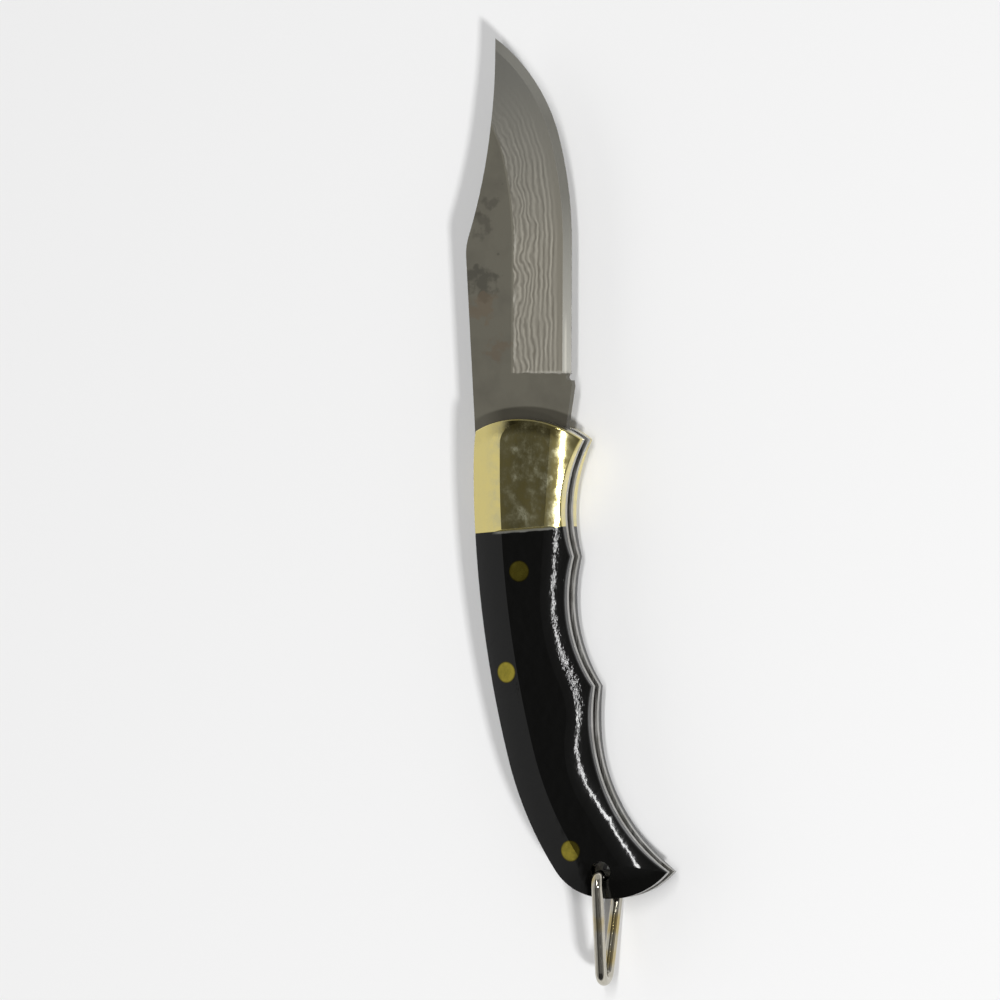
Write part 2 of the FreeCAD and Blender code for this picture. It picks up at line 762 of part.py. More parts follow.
def make_bail():
    """A triangle of bent wire: its short side lies in the hole, its long sides meet at the end."""
    body = new_body("bail")
    seat_x = -(size.bail_hole_radius - size.wire_radius - size.bail_seat_gap)
    corner_z = bail_half - size.bail_corner_radius
    centre_x = -bail_end_centre
    corner = Vector(plain(seat_x - size.bail_corner_radius), corner_z.value, 0)
    end = Vector(centre_x.value, 0, 0)
    along = end - corner
    slack = (size.bail_corner_radius.value - size.bail_end_radius.value) / along.Length
    along.normalize()
    outward = along * slack + Vector(along.y, -along.x, 0) * math.sqrt(1 - slack ** 2)
    lean = math.atan2(outward.y, outward.x)
    corner_out = corner + outward * size.bail_corner_radius.value
    end_out = end + outward * size.bail_end_radius.value
    below = [Vector(p.x, -p.y, 0) for p in (corner, corner_out, end_out)]
    up = Vector(0, 0, 1)

    path = new_sketch(body, "bail_path", "XZ_Plane")
    pen = Pen(path, seat_x, size.bail_split / 2)
    first = Vector(seat_x.value, size.bail_split.value / 2, 0)
    rise = Vector(seat_x.value, corner_z.value, 0)
    corner_circle = Part.Circle(corner, up, size.bail_corner_radius.value)
    end_circle = Part.Circle(end, up, size.bail_end_radius.value)
    below_circle = Part.Circle(below[0], up, size.bail_corner_radius.value)
    wires = [
        Part.LineSegment(first, rise),
        Part.ArcOfCircle(corner_circle, 0, lean),
        Part.LineSegment(corner_out, end_out),
        Part.ArcOfCircle(end_circle, lean, 2 * math.pi - lean),
        Part.LineSegment(below[2], below[1]),
        Part.ArcOfCircle(below_circle, 2 * math.pi - lean, 2 * math.pi),
        Part.LineSegment(Vector(rise.x, -rise.y, 0), Vector(first.x, -first.y, 0)),
    ]
    for wire in wires:
        pen.add(wire, 1, 2, True)
    pen.pin(6, 2, seat_x, -size.bail_split / 2)
    pen.constrain("Vertical", 0)
    pen.constrain("Vertical", 6)
    pen.constrain("Radius", 1, size.bail_corner_radius)
    pen.constrain("Radius", 5, size.bail_corner_radius)
    pen.constrain("Radius", 3, size.bail_end_radius)
    pen.constrain("DistanceY", -1, 1, 1, 3, corner_z)
    pen.constrain("DistanceY", -1, 1, 5, 3, -corner_z)
    pen.constrain("DistanceX", -1, 1, 3, 3, centre_x)
    pen.constrain("PointOnObject", 3, 3, -1)

    section = new_sketch(body, "bail_section", lift=size.bail_split / 2)
    circle(section, seat_x, 0, size.wire_radius)
    pipe(body, "AdditivePipe", section, path, 7)
    body.Placement.Rotation = Rotation(Vector(0, 0, 1), 0)
    bind(body, "Placement.Rotation.Angle", size.bail_lean)
    place(body, bail_hole_x, size.bail_hole_y)
    return body


def make_pin(name, x, y, radius, form, low):
    """A pin or rivet, ground flush with the rounded outside of the handle."""
    blank = drill(f"{name}_blank", x, y, radius, low, drill_length * 2)
    pin = combine("Common", name, blank, form)
    place(pin)
    return pin


handle_form = make_handle_form()
lower_form = mirrored("lower_form", handle_form)
whole_form = fuse("whole_form", [handle_form, lower_form])
bolster_space = joint_block("bolster_space", False)
scale_space = joint_block("scale_space", True)
joint_groove = make_joint_groove()

pieces = [
    make_blade(),
    make_back_spring(),
    make_bail(),
    make_pin("pivot_pin", None, None, size.pivot_radius, whole_form, -drill_length),
    make_pin(
        "spring_pin", size.spring_pin_x, size.spring_pin_y, size.pin_radius, whole_form, -drill_length
    ),
    make_pin(
        "end_pin", end_pin_x, size.end_pin_y, size.pin_radius, whole_form, -drill_length
    ),
]
paired = {
    "liner": make_liner(),
    "washer": make_washer(),
    "bolster": cover("upper_bolster", handle_form, bolster_space, joint_groove, bolster_holes),
    "scale": cover("upper_scale", handle_form, scale_space, joint_groove, scale_holes),
    "scale_pin": make_pin(
        "upper_scale_pin", size.scale_pin_x, size.scale_pin_y, size.pin_radius, handle_form, slot_half
    ),
    "spine_rivet": make_pin(
        "upper_spine_rivet", size.rivet_x, size.rivet_upper_y, size.rivet_radius, handle_form, slot_half
    ),
    "belly_rivet": make_pin(
        "upper_belly_rivet", size.rivet_x, size.rivet_lower_y, size.rivet_radius, handle_form, slot_half
    ),
}
for name, piece in paired.items():
    pieces.append(piece)
    pieces.append(lower_twin(f"lower_{name}", piece))
doc.recompute()

for item in doc.Objects:
    if "Invalid" in item.State or "Error" in item.State:
        raise RuntimeError(f"{item.Name} failed")
for piece in pieces:
    if piece.Shape.isNull() or not piece.Shape.isValid() or len(piece.Shape.Solids) != 1:
        raise RuntimeError(f"{piece.Label} is not one sound solid")

os.makedirs("parts", exist_ok=True)
for piece in pieces:
    piece.Shape.exportStep(f"parts/{piece.Label}.step")
    print(f"{piece.Label}: {piece.Shape.Volume:.1f} cubic millimetres")
bail_x = shift_x + bail_hole_x
bail_y = shift_y + size.bail_hole_y
print(f"pivot axis at x {shift_x.value:.3f}, y {shift_y.value:.3f}")
print(f"bail axis at x {bail_x.value:.3f}, y {bail_y.value:.3f}")
print(f"middle of the blade at z {shift_z.value:.3f}")
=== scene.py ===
# %% [markdown]
# # A folding knife with a layered blade
# This lesson dresses a finished construction: a folding pocket knife with a clip-point blade,
# brass bolsters, black scales and a wire bail. Every piece already has its real size and place
# in the frame that is loaded first, in metres. The lesson adds what construction leaves out:
# broken edges and a ground blade with a pattern that follows its edge, a finish for each
# material, soft light, a pale floor and a camera.

# %% Load the frame
import json
import math

import bmesh
import bpy
from mathutils import Matrix, Vector
from mathutils.geometry import intersect_line_line, intersect_point_line


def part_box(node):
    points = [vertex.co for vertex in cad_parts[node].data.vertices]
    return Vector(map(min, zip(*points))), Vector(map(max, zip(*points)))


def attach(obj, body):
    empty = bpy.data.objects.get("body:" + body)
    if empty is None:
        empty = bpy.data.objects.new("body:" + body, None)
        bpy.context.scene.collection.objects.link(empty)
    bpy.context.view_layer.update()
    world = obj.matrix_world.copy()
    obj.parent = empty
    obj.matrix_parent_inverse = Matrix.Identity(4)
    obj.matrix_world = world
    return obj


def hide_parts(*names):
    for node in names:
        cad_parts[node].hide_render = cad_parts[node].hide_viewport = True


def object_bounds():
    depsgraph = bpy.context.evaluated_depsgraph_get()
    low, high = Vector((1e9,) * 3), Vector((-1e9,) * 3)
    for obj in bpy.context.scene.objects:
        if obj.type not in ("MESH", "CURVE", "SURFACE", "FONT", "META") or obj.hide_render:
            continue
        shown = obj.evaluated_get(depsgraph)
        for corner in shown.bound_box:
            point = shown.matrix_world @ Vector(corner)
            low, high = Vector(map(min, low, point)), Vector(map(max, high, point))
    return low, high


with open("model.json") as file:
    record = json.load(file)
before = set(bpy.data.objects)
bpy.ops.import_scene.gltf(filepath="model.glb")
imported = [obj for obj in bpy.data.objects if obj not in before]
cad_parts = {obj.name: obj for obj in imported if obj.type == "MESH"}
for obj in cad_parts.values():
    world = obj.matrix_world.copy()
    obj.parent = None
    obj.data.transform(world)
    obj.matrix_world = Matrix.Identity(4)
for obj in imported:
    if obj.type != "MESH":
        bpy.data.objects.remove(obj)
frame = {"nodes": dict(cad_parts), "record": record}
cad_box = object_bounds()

MM = 0.001
nodes = frame["nodes"]
extent = [round(side / MM, 1) for side in cad_box[1] - cad_box[0]]
print(f"{len(nodes)} pieces, box {extent} mm")

# %% [markdown]
# ## Small helpers
# Colours are written as sRGB hex values, the way a colour picker shows them, and shaders work
# in linear light, so one function converts them. Another adds a node, sets it up and links its
# inputs, which keeps each material short enough to read. Inputs that share a name are given by
# number: a Map Range has its value at 0, the range it reads at 1 and 2, and the range it gives at
# 3 and 4, which is 0 to 1 where nothing is said. A colour Mix has its share at 0 and its two
# colours at 6 and 7. Texture nodes have scales in features per metre, so a third function turns a
# feature's real size in millimetres into a scale.


# %% Colours, nodes and scales
def colour(code):
    """An sRGB hex colour as linear red, green, blue and alpha."""
    channels = [int(code[start:start + 2], 16) / 255 for start in (1, 3, 5)]
    linear = [c / 12.92 if c <= 0.04045 else ((c + 0.055) / 1.055) ** 2.4 for c in channels]
    return (*linear, 1.0)


def add(tree, kind, inputs=None, **settings):
    """A new node: settings are its own properties, inputs are numbers, colours or other sockets."""
    node = tree.nodes.new(kind)
    for name, value in settings.items():
        setattr(node, name, value)
    for key, value in (inputs or {}).items():
        socket = node.inputs[key]
        if isinstance(value, bpy.types.NodeSocket):
            tree.links.new(value, socket)
        else:
            socket.default_value = value
    return next((socket for socket in node.outputs if socket.enabled), None)


def per_metre(size):
    """Texture scale for features of a size in millimetres."""
    return 1 / (size * MM)


def new_material(name):
    """A material without nodes, and its empty tree."""
    material = bpy.data.materials.new(name)
    material.use_nodes = True
    material.node_tree.nodes.clear()
    return material, material.node_tree


def object_place(tree):
    """The piece's own coordinates in metres, whole and as x, y and z."""
    place = tree.nodes.new("ShaderNodeTexCoord").outputs["Object"]
    split = tree.nodes.new("ShaderNodeSeparateXYZ")
    tree.links.new(place, split.inputs[0])
    return place, *split.outputs


greys = {code: round(colour(code)[0], 3) for code in ("#000000", "#808080", "#FFFFFF")}
print("black, grey and white in linear light:", greys)

# %% [markdown]
# ## Camera
# The knife lies on its side with the tip at the top of the picture. The camera looks down on it,
# tilted towards the belly, so that the liners and the slot show along that side. Its up direction
# is nearly the knife's own length, so it gets its turn from three axes, where a track constraint
# would need one more object to aim at.

# %% Camera
TILT = math.radians(19)
TURN = math.radians(0.22)
DISTANCE = 1500 * MM
VIEW_WIDTH = 190.4 * MM
AIM = Vector((2.05, 13.92, 7.7)) * MM
SENSOR = 36
NEAREST = 10 * MM

back = Vector((0, -math.sin(TILT), math.cos(TILT)))
up = Matrix.Rotation(TURN, 3, back) @ Vector((1, 0, 0))
right = up.cross(back)
camera_data = bpy.data.cameras.new("camera")
camera_data.sensor_width = SENSOR
camera_data.lens = SENSOR * DISTANCE / VIEW_WIDTH
camera_data.clip_start = NEAREST
camera = bpy.data.objects.new("camera", camera_data)
camera.matrix_world = Matrix((right, up, back)).transposed().to_4x4()
camera.location = AIM + back * DISTANCE
bpy.context.scene.collection.objects.link(camera)
bpy.context.scene.camera = camera
print(f"camera {DISTANCE / MM:.0f} mm away, lens {camera_data.lens:.1f} mm")

# %% [markdown]
# ## Light
# Polished metal and black plastic show the room more than their own colour. A long, narrow lamp
# hangs nearly overhead: its reflection is the bright line along the crowned belly. A small square
# lamp on the belly side throws the shadow towards the spine. Both are area lamps, because a point
# lamp has no shape, so it would leave a dot for a reflection and a hard edge round the shadow.


# %% Lamps
def hang_lamp(name, to_butt, to_belly, distance, length, width, radiance):
    """A flat lamp that faces the knife, swung from overhead by two angles in degrees."""
    data = bpy.data.lights.new(name, "AREA")
    data.shape = "RECTANGLE"
    data.size = length
    data.size_y = width
    data.energy = radiance * math.pi * length * width
    lengthwise = Matrix.Rotation(-math.radians(to_butt), 4, "Y")
    sideways = Matrix.Rotation(math.radians(to_belly), 4, "X")
    lamp = bpy.data.objects.new(name, data)
    lamp.matrix_world = sideways @ lengthwise @ Matrix.Translation((0, 0, distance))
    bpy.context.scene.collection.objects.link(lamp)
    print(f"{name} of {data.energy:.1f} W")


STRIP_LEAN = 9
hang_lamp("strip_lamp", to_butt=-6, to_belly=STRIP_LEAN, distance=3.0,
          length=1.7, width=0.16, radiance=39)
hang_lamp("side_lamp", to_butt=24, to_belly=36, distance=2.0,
          length=0.2, width=0.2, radiance=174)

# %% [markdown]
# ## Room
# The room around the lamps is reflected too. A dark ceiling keeps the flat faces dark, and pale
# walls light up the roll-off along the spine. A studio has white cards for that. Ramps over the
# direction do the same here, and nothing stands in the way of another camera. In a direction, x
# points to the tip, y to the spine and z up, each as the sine of an angle from overhead or from
# the horizon: a wall that starts at a y of 0.5 starts 30 degrees from overhead.

# %% Room
SPINE_WALL, BUTT_SHADE = 0.71, 0.55
BELLY_WALL = 0.3
TIP_WALL = 0.55
HALO, CEILING, PAST_STRIP = 0.38, 0.045, 0.15
HORIZON = 0.8

world = bpy.data.worlds.new("studio")
bpy.context.scene.world = world
world.use_nodes = True
sky = world.node_tree
sky.nodes.clear()
direction = sky.nodes.new("ShaderNodeTexCoord").outputs["Generated"]
axes = sky.nodes.new("ShaderNodeSeparateXYZ")
sky.links.new(direction, axes.inputs[0])
x, y, z = axes.outputs

# walls, darker towards the butt on the spine side
spine_wall = add(sky, "ShaderNodeMapRange", {0: y, 1: 0.5, 2: 0.6, 3: 0.0, 4: SPINE_WALL})
butt_shade = add(sky, "ShaderNodeMapRange", {0: x, 1: -0.6, 2: -0.1, 3: BUTT_SHADE, 4: 1.0})
spine_wall = add(sky, "ShaderNodeMath", {0: spine_wall, 1: butt_shade}, operation="MULTIPLY")
belly_wall = add(sky, "ShaderNodeMapRange", {0: y, 1: -0.55, 2: -0.8, 3: 0.0, 4: BELLY_WALL})
tip_wall = add(sky, "ShaderNodeMapRange", {0: x, 1: 0.42, 2: 0.68, 3: 0.0, 4: TIP_WALL})
walls = add(sky, "ShaderNodeMath", {0: spine_wall, 1: belly_wall}, operation="ADD")
walls = add(sky, "ShaderNodeMath", {0: walls, 1: tip_wall}, operation="MAXIMUM")

# a dim halo beside the strip lamp, which the ceiling takes over further away
strip_y = math.sin(math.radians(STRIP_LEAN))
from_strip = add(sky, "ShaderNodeMath", {0: y, 1: strip_y}, operation="ADD")
from_strip = add(sky, "ShaderNodeMath", {0: from_strip}, operation="ABSOLUTE")
halo = add(sky, "ShaderNodeMapRange", {0: from_strip, 1: 0.0, 2: 0.55, 3: HALO, 4: CEILING})
past_strip = add(sky, "ShaderNodeMath", {0: x}, operation="ABSOLUTE")
past_strip = add(sky, "ShaderNodeMapRange", {0: past_strip, 1: 0.35, 2: 0.65, 3: 1.0, 4: PAST_STRIP})
halo = add(sky, "ShaderNodeMath", {0: halo, 1: past_strip}, operation="MULTIPLY")

horizon = add(sky, "ShaderNodeMapRange", {0: z, 1: 0.05, 2: 0.25, 3: HORIZON, 4: 0.0})
room = add(sky, "ShaderNodeMath", {0: walls, 1: halo}, operation="MAXIMUM")
level = add(sky, "ShaderNodeMath", {0: room, 1: horizon}, operation="MAXIMUM")
glow = add(sky, "ShaderNodeBackground", {"Color": colour("#FFFFFF"), "Strength": level})
add(sky, "ShaderNodeOutputWorld", {"Surface": glow})
print(f"room with walls of {SPINE_WALL}, {BELLY_WALL} and {TIP_WALL}, and a ceiling of {CEILING}")

# %% [markdown]
# ## Floor
# A sheet of pale paper. It carries the shadow and fills the lower half of every reflection, so it
# is a real surface with a real colour. It isn't part of the knife.

# %% Floor
FLOOR_HALF = 3.0
FIBRE, FIBRE_DEPTH = 0.8, 0.02 * MM
sheet = bmesh.new()
bmesh.ops.create_grid(sheet, x_segments=1, y_segments=1, size=FLOOR_HALF)
floor_mesh = bpy.data.meshes.new("floor")
sheet.to_mesh(floor_mesh)
sheet.free()
floor = bpy.data.objects.new("floor", floor_mesh)
bpy.context.scene.collection.objects.link(floor)

# matt paper scatters light: pale from every side, with soft shadows and no reflections
paper, tree = new_material("matt_white_paper")
place, *_ = object_place(tree)
# real fibres are far finer: these are as coarse as they need to be to show
fibres = add(tree, "ShaderNodeTexNoise", {"Vector": place, "Scale": per_metre(FIBRE)})
relief = add(tree, "ShaderNodeBump", {"Strength": 0.05, "Distance": FIBRE_DEPTH, "Height": fibres})
surface = add(tree, "ShaderNodeBsdfPrincipled", {
    "Base Color": colour("#EEEEEE"),
    "Roughness": 0.9,
    "Specular IOR Level": 0.1,
    "Normal": relief,
})
add(tree, "ShaderNodeOutputMaterial", {"Surface": surface})
floor_mesh.materials.append(paper)
print("floor at the height of the knife's lowest point")

# %% [markdown]
# ## Blade
# The blade is cut from layered steel, forged, then ground: the flats keep the dark forge finish,
# and the ground bevel cuts through the layers and shows them as wavy lines along the edge. The
# construction has the right outline and bevels, so its mesh is copied, and the copy gets what a
# maker adds by hand: the sharp corners along spine and ricasso are broken with a small bevel.
# The copy is then cut into a grid, because the pattern needs points that know how far they are
# from the edge, and a flat face of the construction has points only along its rim.

# %% Copy of the blade, with its corners broken
CORNER_BREAK = 0.12 * MM
MERGE = 0.001 * MM
SAME_PLANE = math.radians(0.05)
SQUARE = math.radians(80)
FACES_UP = 0.999
blade_low, blade_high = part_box("blade")
bolster_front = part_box("upper_bolster")[1].x
shape = bmesh.new()
shape.from_mesh(nodes["blade"].data)
bmesh.ops.remove_doubles(shape, verts=shape.verts, dist=MERGE)
bmesh.ops.dissolve_limit(shape, angle_limit=SAME_PLANE, verts=shape.verts, edges=shape.edges)
corners = [
    edge for edge in shape.edges
    if len(edge.link_faces) == 2
    and edge.calc_face_angle() > SQUARE
    and max(abs(face.normal.z) for face in edge.link_faces) > FACES_UP
    and min(vert.co.x for vert in edge.verts) > bolster_front
]
bmesh.ops.bevel(shape, geom=corners, offset=CORNER_BREAK, offset_type="OFFSET", segments=2,
                profile=0.5, affect="EDGES", material=-1, clamp_overlap=True)
print(f"{len(corners)} corners broken on the blade")

# %% Grid over the blade
GRID = 1.5 * MM
CREASE = math.radians(3)
for axis, low, high in ((0, blade_low.x, blade_high.x), (1, blade_low.y, blade_high.y)):
    normal = Vector((axis == 0, axis == 1, 0))
    for step in range(1, int((high - low) / GRID)):
        cut = normal * (low + step * GRID)
        everything = shape.verts[:] + shape.edges[:] + shape.faces[:]
        bmesh.ops.bisect_plane(shape, geom=everything, plane_co=cut, plane_no=normal, dist=MERGE)
bmesh.ops.triangulate(shape, faces=[face for face in shape.faces if len(face.verts) > 4])
for face in shape.faces:
    face.smooth = True
for edge in shape.edges:
    edge.smooth = len(edge.link_faces) == 2 and edge.calc_face_angle() < CREASE
print(f"blade of {len(shape.faces)} faces")

# %% [markdown]
# The sharp edge is where the two bevels nearly meet, so its points lie in the middle of the
# blade's thickness. Each point of the blade then gets two numbers, kept in a UV map in
# millimetres: how far along the edge its nearest point lies, and how far away that is.

# %% Distance from the edge, as a UV map
EDGE_HALF = 0.06 * MM
mid_z = (blade_low.z + blade_high.z) / 2
thin = [v.co for v in shape.verts if abs(v.co.z - mid_z) < EDGE_HALF and v.co.x > bolster_front]
heel_x = min(point.x for point in thin)
edge_points = sorted({(round(point.x, 6), round(point.y, 6)) for point in thin})
edge_line = [Vector((*point, 0)) for point in edge_points]
lengths = [0.0]
for first, last in zip(edge_line, edge_line[1:]):
    lengths.append(lengths[-1] + (last - first).length)


def edge_place(point):
    """How far along the sharp edge a point lies, and how far from it, in millimetres."""
    flat = Vector((point.x, point.y, 0))
    best = None
    for start, first, last in zip(lengths, edge_line, edge_line[1:]):
        share = min(max(intersect_point_line(flat, first, last)[1], 0), 1)
        away = (flat - first.lerp(last, share)).length
        if best is None or away < best[1]:
            best = (start + share * (last - first).length, away)
    return best[0] / MM, best[1] / MM


grind = shape.loops.layers.uv.new("grind")
for vert in shape.verts:
    spot = edge_place(vert.co)
    for loop in vert.link_loops:
        loop[grind].uv = spot
blade_mesh = bpy.data.meshes.new("ground_blade")
shape.to_mesh(blade_mesh)
shape.free()
blade = bpy.data.objects.new("ground_blade", blade_mesh)
bpy.context.scene.collection.objects.link(blade)
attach(blade, "blade")
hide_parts("blade")
print(f"edge of {lengths[-1] / MM:.1f} mm, heel at x {heel_x / MM:.1f} mm")

# %% [markdown]
# ## Layered steel
# Forge-welded layers of harder and softer steel. Grinding leaves the layers as lines, which are
# etched a little so that they show: they run along the edge, waver where the smith's hammer
# pushed them, and fade out towards the plain core steel at the edge and the tip. The lines could
# be drawn one by one, but a wave over the distance from the edge gives them all at once, and a
# noise that shifts the distance makes them waver together, as real layers do. One material holds
# the whole blade, because the border between flat and bevel wanders a little, as a hand-held
# grind does.

# %% Layered steel: how the layers run
LAYER = 0.95
HAMMER_LONG, HAMMER_WIDE = 8, 6
CALM_AT, PUSHED_AT = 2.0, 11.0
CALM, PUSHED = 0.8, 5.5

# forged steel, stained and then part ground: a dull grey sheen without clear reflections
steel, tree = new_material("forged_layered_steel")
place, x, y, _ = object_place(tree)
uv = add(tree, "ShaderNodeUVMap", uv_map="grind")
split = tree.nodes.new("ShaderNodeSeparateXYZ")
tree.links.new(uv, split.inputs[0])
away = split.outputs["Y"]

# how far the hammer pushed a layer aside, in millimetres: more at the flats than at the edge
marks = add(tree, "ShaderNodeMapping", {"Vector": uv, "Scale": (1 / HAMMER_LONG, 1 / HAMMER_WIDE, 1)})
wander = add(tree, "ShaderNodeTexNoise", {
    "Vector": marks, "Scale": 1.0, "Detail": 3.0, "Roughness": 0.5})
offset = add(tree, "ShaderNodeMath", {0: wander, 1: 0.5}, operation="SUBTRACT")
swing = add(tree, "ShaderNodeMapRange", {0: away, 1: CALM_AT, 2: PUSHED_AT, 3: CALM, 4: PUSHED})
pushed = add(tree, "ShaderNodeMath", {0: offset, 1: swing, 2: away}, operation="MULTIPLY_ADD")
turns = add(tree, "ShaderNodeMath", {0: pushed, 1: 2 * math.pi / LAYER}, operation="MULTIPLY")
wave = add(tree, "ShaderNodeMath", {0: turns}, operation="SINE")
print(f"layers {LAYER} mm apart, pushed aside by up to {PUSHED / 2} mm")

# %% Layered steel: where the layers fade
# most of a noise's values lie between these two
NOISE_LOW, NOISE_HIGH = 0.3, 0.7
STREAK_LONG, STREAK_WIDE = 7, 0.9
FAINTEST = 0.15
CORE_HEEL_X, CORE_TIP_X = 28 * MM, 75 * MM
CORE_AT_HEEL, CORE_AT_TIP, CORE_BLEND = 1.6, 2.8, 1.5
LAYERS_FADE_X, LAYERS_END_X = 70 * MM, 84 * MM
uneven = add(tree, "ShaderNodeMapping", {"Vector": uv, "Scale": (1 / STREAK_LONG, 1 / STREAK_WIDE, 1)})
strength = add(tree, "ShaderNodeTexNoise", {"Vector": uneven, "Scale": 1.0, "Detail": 2.0})
strength = add(tree, "ShaderNodeMapRange", {
    0: strength, 1: NOISE_LOW, 2: NOISE_HIGH, 3: FAINTEST, 4: 1.0})
core = add(tree, "ShaderNodeMapRange", {
    0: x, 1: CORE_HEEL_X, 2: CORE_TIP_X, 3: CORE_AT_HEEL, 4: CORE_AT_TIP})
core_end = add(tree, "ShaderNodeMath", {0: core, 1: CORE_BLEND}, operation="ADD")
core_side = add(tree, "ShaderNodeMapRange", {0: away, 1: core, 2: core_end})
core_tip = add(tree, "ShaderNodeMapRange", {0: x, 1: LAYERS_FADE_X, 2: LAYERS_END_X, 3: 1.0, 4: 0.0})
fade = add(tree, "ShaderNodeMath", {0: core_side, 1: core_tip}, operation="MULTIPLY")
fade = add(tree, "ShaderNodeMath", {0: fade, 1: strength}, operation="MULTIPLY")
layers = add(tree, "ShaderNodeMath", {0: wave, 1: fade}, operation="MULTIPLY")
shown = add(tree, "ShaderNodeMapRange", {0: layers, 1: -1.0, 2: 1.0})
print(f"core steel of {CORE_AT_HEEL} mm at the heel and {CORE_AT_TIP} mm near the tip")

# %% Layered steel: colours of the bevel
DARK_LAYER, PALE_LAYER = "#69655B", "#9D998E"
CORE_STEEL, TIP_STEEL = "#7B776C", "#71706A"
TIP_FROM_X, TIP_FULL_X = 50 * MM, 82 * MM
bevel_colour = add(tree, "ShaderNodeMix", {0: shown, 6: colour(DARK_LAYER), 7: colour(PALE_LAYER)},
                   data_type="RGBA")
bevel_colour = add(tree, "ShaderNodeMix", {0: core_side, 6: colour(CORE_STEEL), 7: bevel_colour},
                   data_type="RGBA")
to_tip = add(tree, "ShaderNodeMapRange", {0: x, 1: TIP_FROM_X, 2: TIP_FULL_X})
bevel_colour = add(tree, "ShaderNodeMix", {0: to_tip, 6: bevel_colour, 7: colour(TIP_STEEL)},
                   data_type="RGBA")
print("bevel from", DARK_LAYER, "to", PALE_LAYER)

# %% [markdown]
# The flats keep the forge scale: dark, cloudy, with brown and black stains and small specks where
# the scale is thickest. Stains lie in certain places, so each has a centre and a radius, and one
# noise frays all their rims. Specks are many and alike, so a cell texture sets them out.

# %% Layered steel: the flats and their stains
CLOUD = 6
CLOUD_FROM, CLOUD_FULL, CLOUDIEST = 0.45, 0.7, 0.6
SCALE_GREY, CLOUD_GREY = "#726F64", "#646158"
FRAY, FRAY_LOW, FRAY_HIGH, FRAYED_BY = 2.2, 0.25, 0.75, 2.5
STAIN_BLEND = 1.4
clouds = add(tree, "ShaderNodeTexNoise", {"Vector": place, "Scale": per_metre(CLOUD), "Detail": 5.0})
cloudy = add(tree, "ShaderNodeMapRange", {0: clouds, 1: CLOUD_FROM, 2: CLOUD_FULL, 3: 0.0, 4: CLOUDIEST})
flat_colour = add(tree, "ShaderNodeMix", {0: cloudy, 6: colour(SCALE_GREY), 7: colour(CLOUD_GREY)},
                  data_type="RGBA")
flat_place = add(tree, "ShaderNodeMapping", {"Vector": place, "Scale": (1, 1, 0)})
frayed = add(tree, "ShaderNodeTexNoise", {"Vector": place, "Scale": per_metre(FRAY), "Detail": 5.0})
frayed = add(tree, "ShaderNodeMapRange", {
    0: frayed, 1: FRAY_LOW, 2: FRAY_HIGH, 3: -FRAYED_BY, 4: FRAYED_BY})

# place and radius in millimetres, colour and strength
stains = [
    ((43.4, 17.8), 2.0, "#4E4C45", 0.65),
    ((38.9, 17.4), 1.8, "#736656", 0.55),
    ((54.5, 17.6), 0.7, "#524F48", 0.5),
    ((58.5, 16.4), 0.3, "#524F48", 0.5),
    ((31.0, 14.0), 0.8, "#6F6253", 0.5),
]
for (stain_x, stain_y), radius, code, most in stains:
    centre = (stain_x * MM, stain_y * MM, 0)
    reach = add(tree, "ShaderNodeVectorMath", {0: flat_place, 1: centre}, operation="DISTANCE")
    reach = add(tree, "ShaderNodeMath", {0: reach, 1: 1 / MM, 2: frayed}, operation="MULTIPLY_ADD")
    inside = add(tree, "ShaderNodeMapRange", {
        0: reach, 1: radius, 2: radius + STAIN_BLEND, 3: most, 4: 0.0})
    flat_colour = add(tree, "ShaderNodeMix", {0: inside, 6: flat_colour, 7: colour(code)},
                      data_type="RGBA")
print(f"flats with {len(stains)} stains")

# %% Layered steel: specks of scale
SPECK_SPACING = 3
SPECK_SHARE, SPECK_RIM_SHARE, SPECK_MOST = 0.05, 0.13, 0.6
SPECKLED_FROM, SPECKLED_FULL = 0.46, 0.54
SPECK_BLACK = "#4C4A43"
specks = add(tree, "ShaderNodeTexVoronoi", {"Vector": flat_place, "Scale": per_metre(SPECK_SPACING)})
specks = add(tree, "ShaderNodeMapRange", {
    0: specks, 1: SPECK_SHARE, 2: SPECK_RIM_SHARE, 3: SPECK_MOST, 4: 0.0})
speckled = add(tree, "ShaderNodeMapRange", {0: clouds, 1: SPECKLED_FROM, 2: SPECKLED_FULL})
specks = add(tree, "ShaderNodeMath", {0: specks, 1: speckled}, operation="MULTIPLY")
flat_colour = add(tree, "ShaderNodeMix", {0: specks, 6: flat_colour, 7: colour(SPECK_BLACK)},
                  data_type="RGBA")
print(f"specks about {SPECK_SPACING} mm apart, in the clouds only")

# %% [markdown]
# A dark band is painted on the blade beside the bolster: a painted shadow, standing for the
# bolster's shadow on the blade. It follows the bolster's front, which is an arc. Three points of
# the front give its centre: it lies where the lines across the middle of two chords meet.

# %% Layered steel: painted shadow by the bolster
FRONT_SIDES = (0, 8, 16)
NEAR_SIDE = 2 * MM
SHADOW_FULL, SHADOW_END = 2.2 * MM, 2.6 * MM
SPINE_SIDE_FROM, SPINE_SIDE_TO = 13 * MM, 17 * MM
SHADOW_COLOUR, SHADOW_MOST, SHADOW_AT_SPINE = "#49463E", 0.8, 0.3
bolster_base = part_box("upper_bolster")[0].z + MERGE
rim = [vert.co for vert in nodes["upper_bolster"].data.vertices if vert.co.z < bolster_base]
front = []
for side in FRONT_SIDES:
    near = [point for point in rim if abs(point.y - side * MM) < NEAR_SIDE]
    front.append(max(near, key=lambda point: point.x))
lines = []
for first, last in zip(front, front[1:]):
    start = (first + last) / 2
    lines += [start, start + (last - first).cross(Vector((0, 0, 1)))]
arc_centre = intersect_line_line(*lines)[0]
arc_radius = (front[0] - arc_centre).length
arc_flat = (arc_centre.x, arc_centre.y, 0)
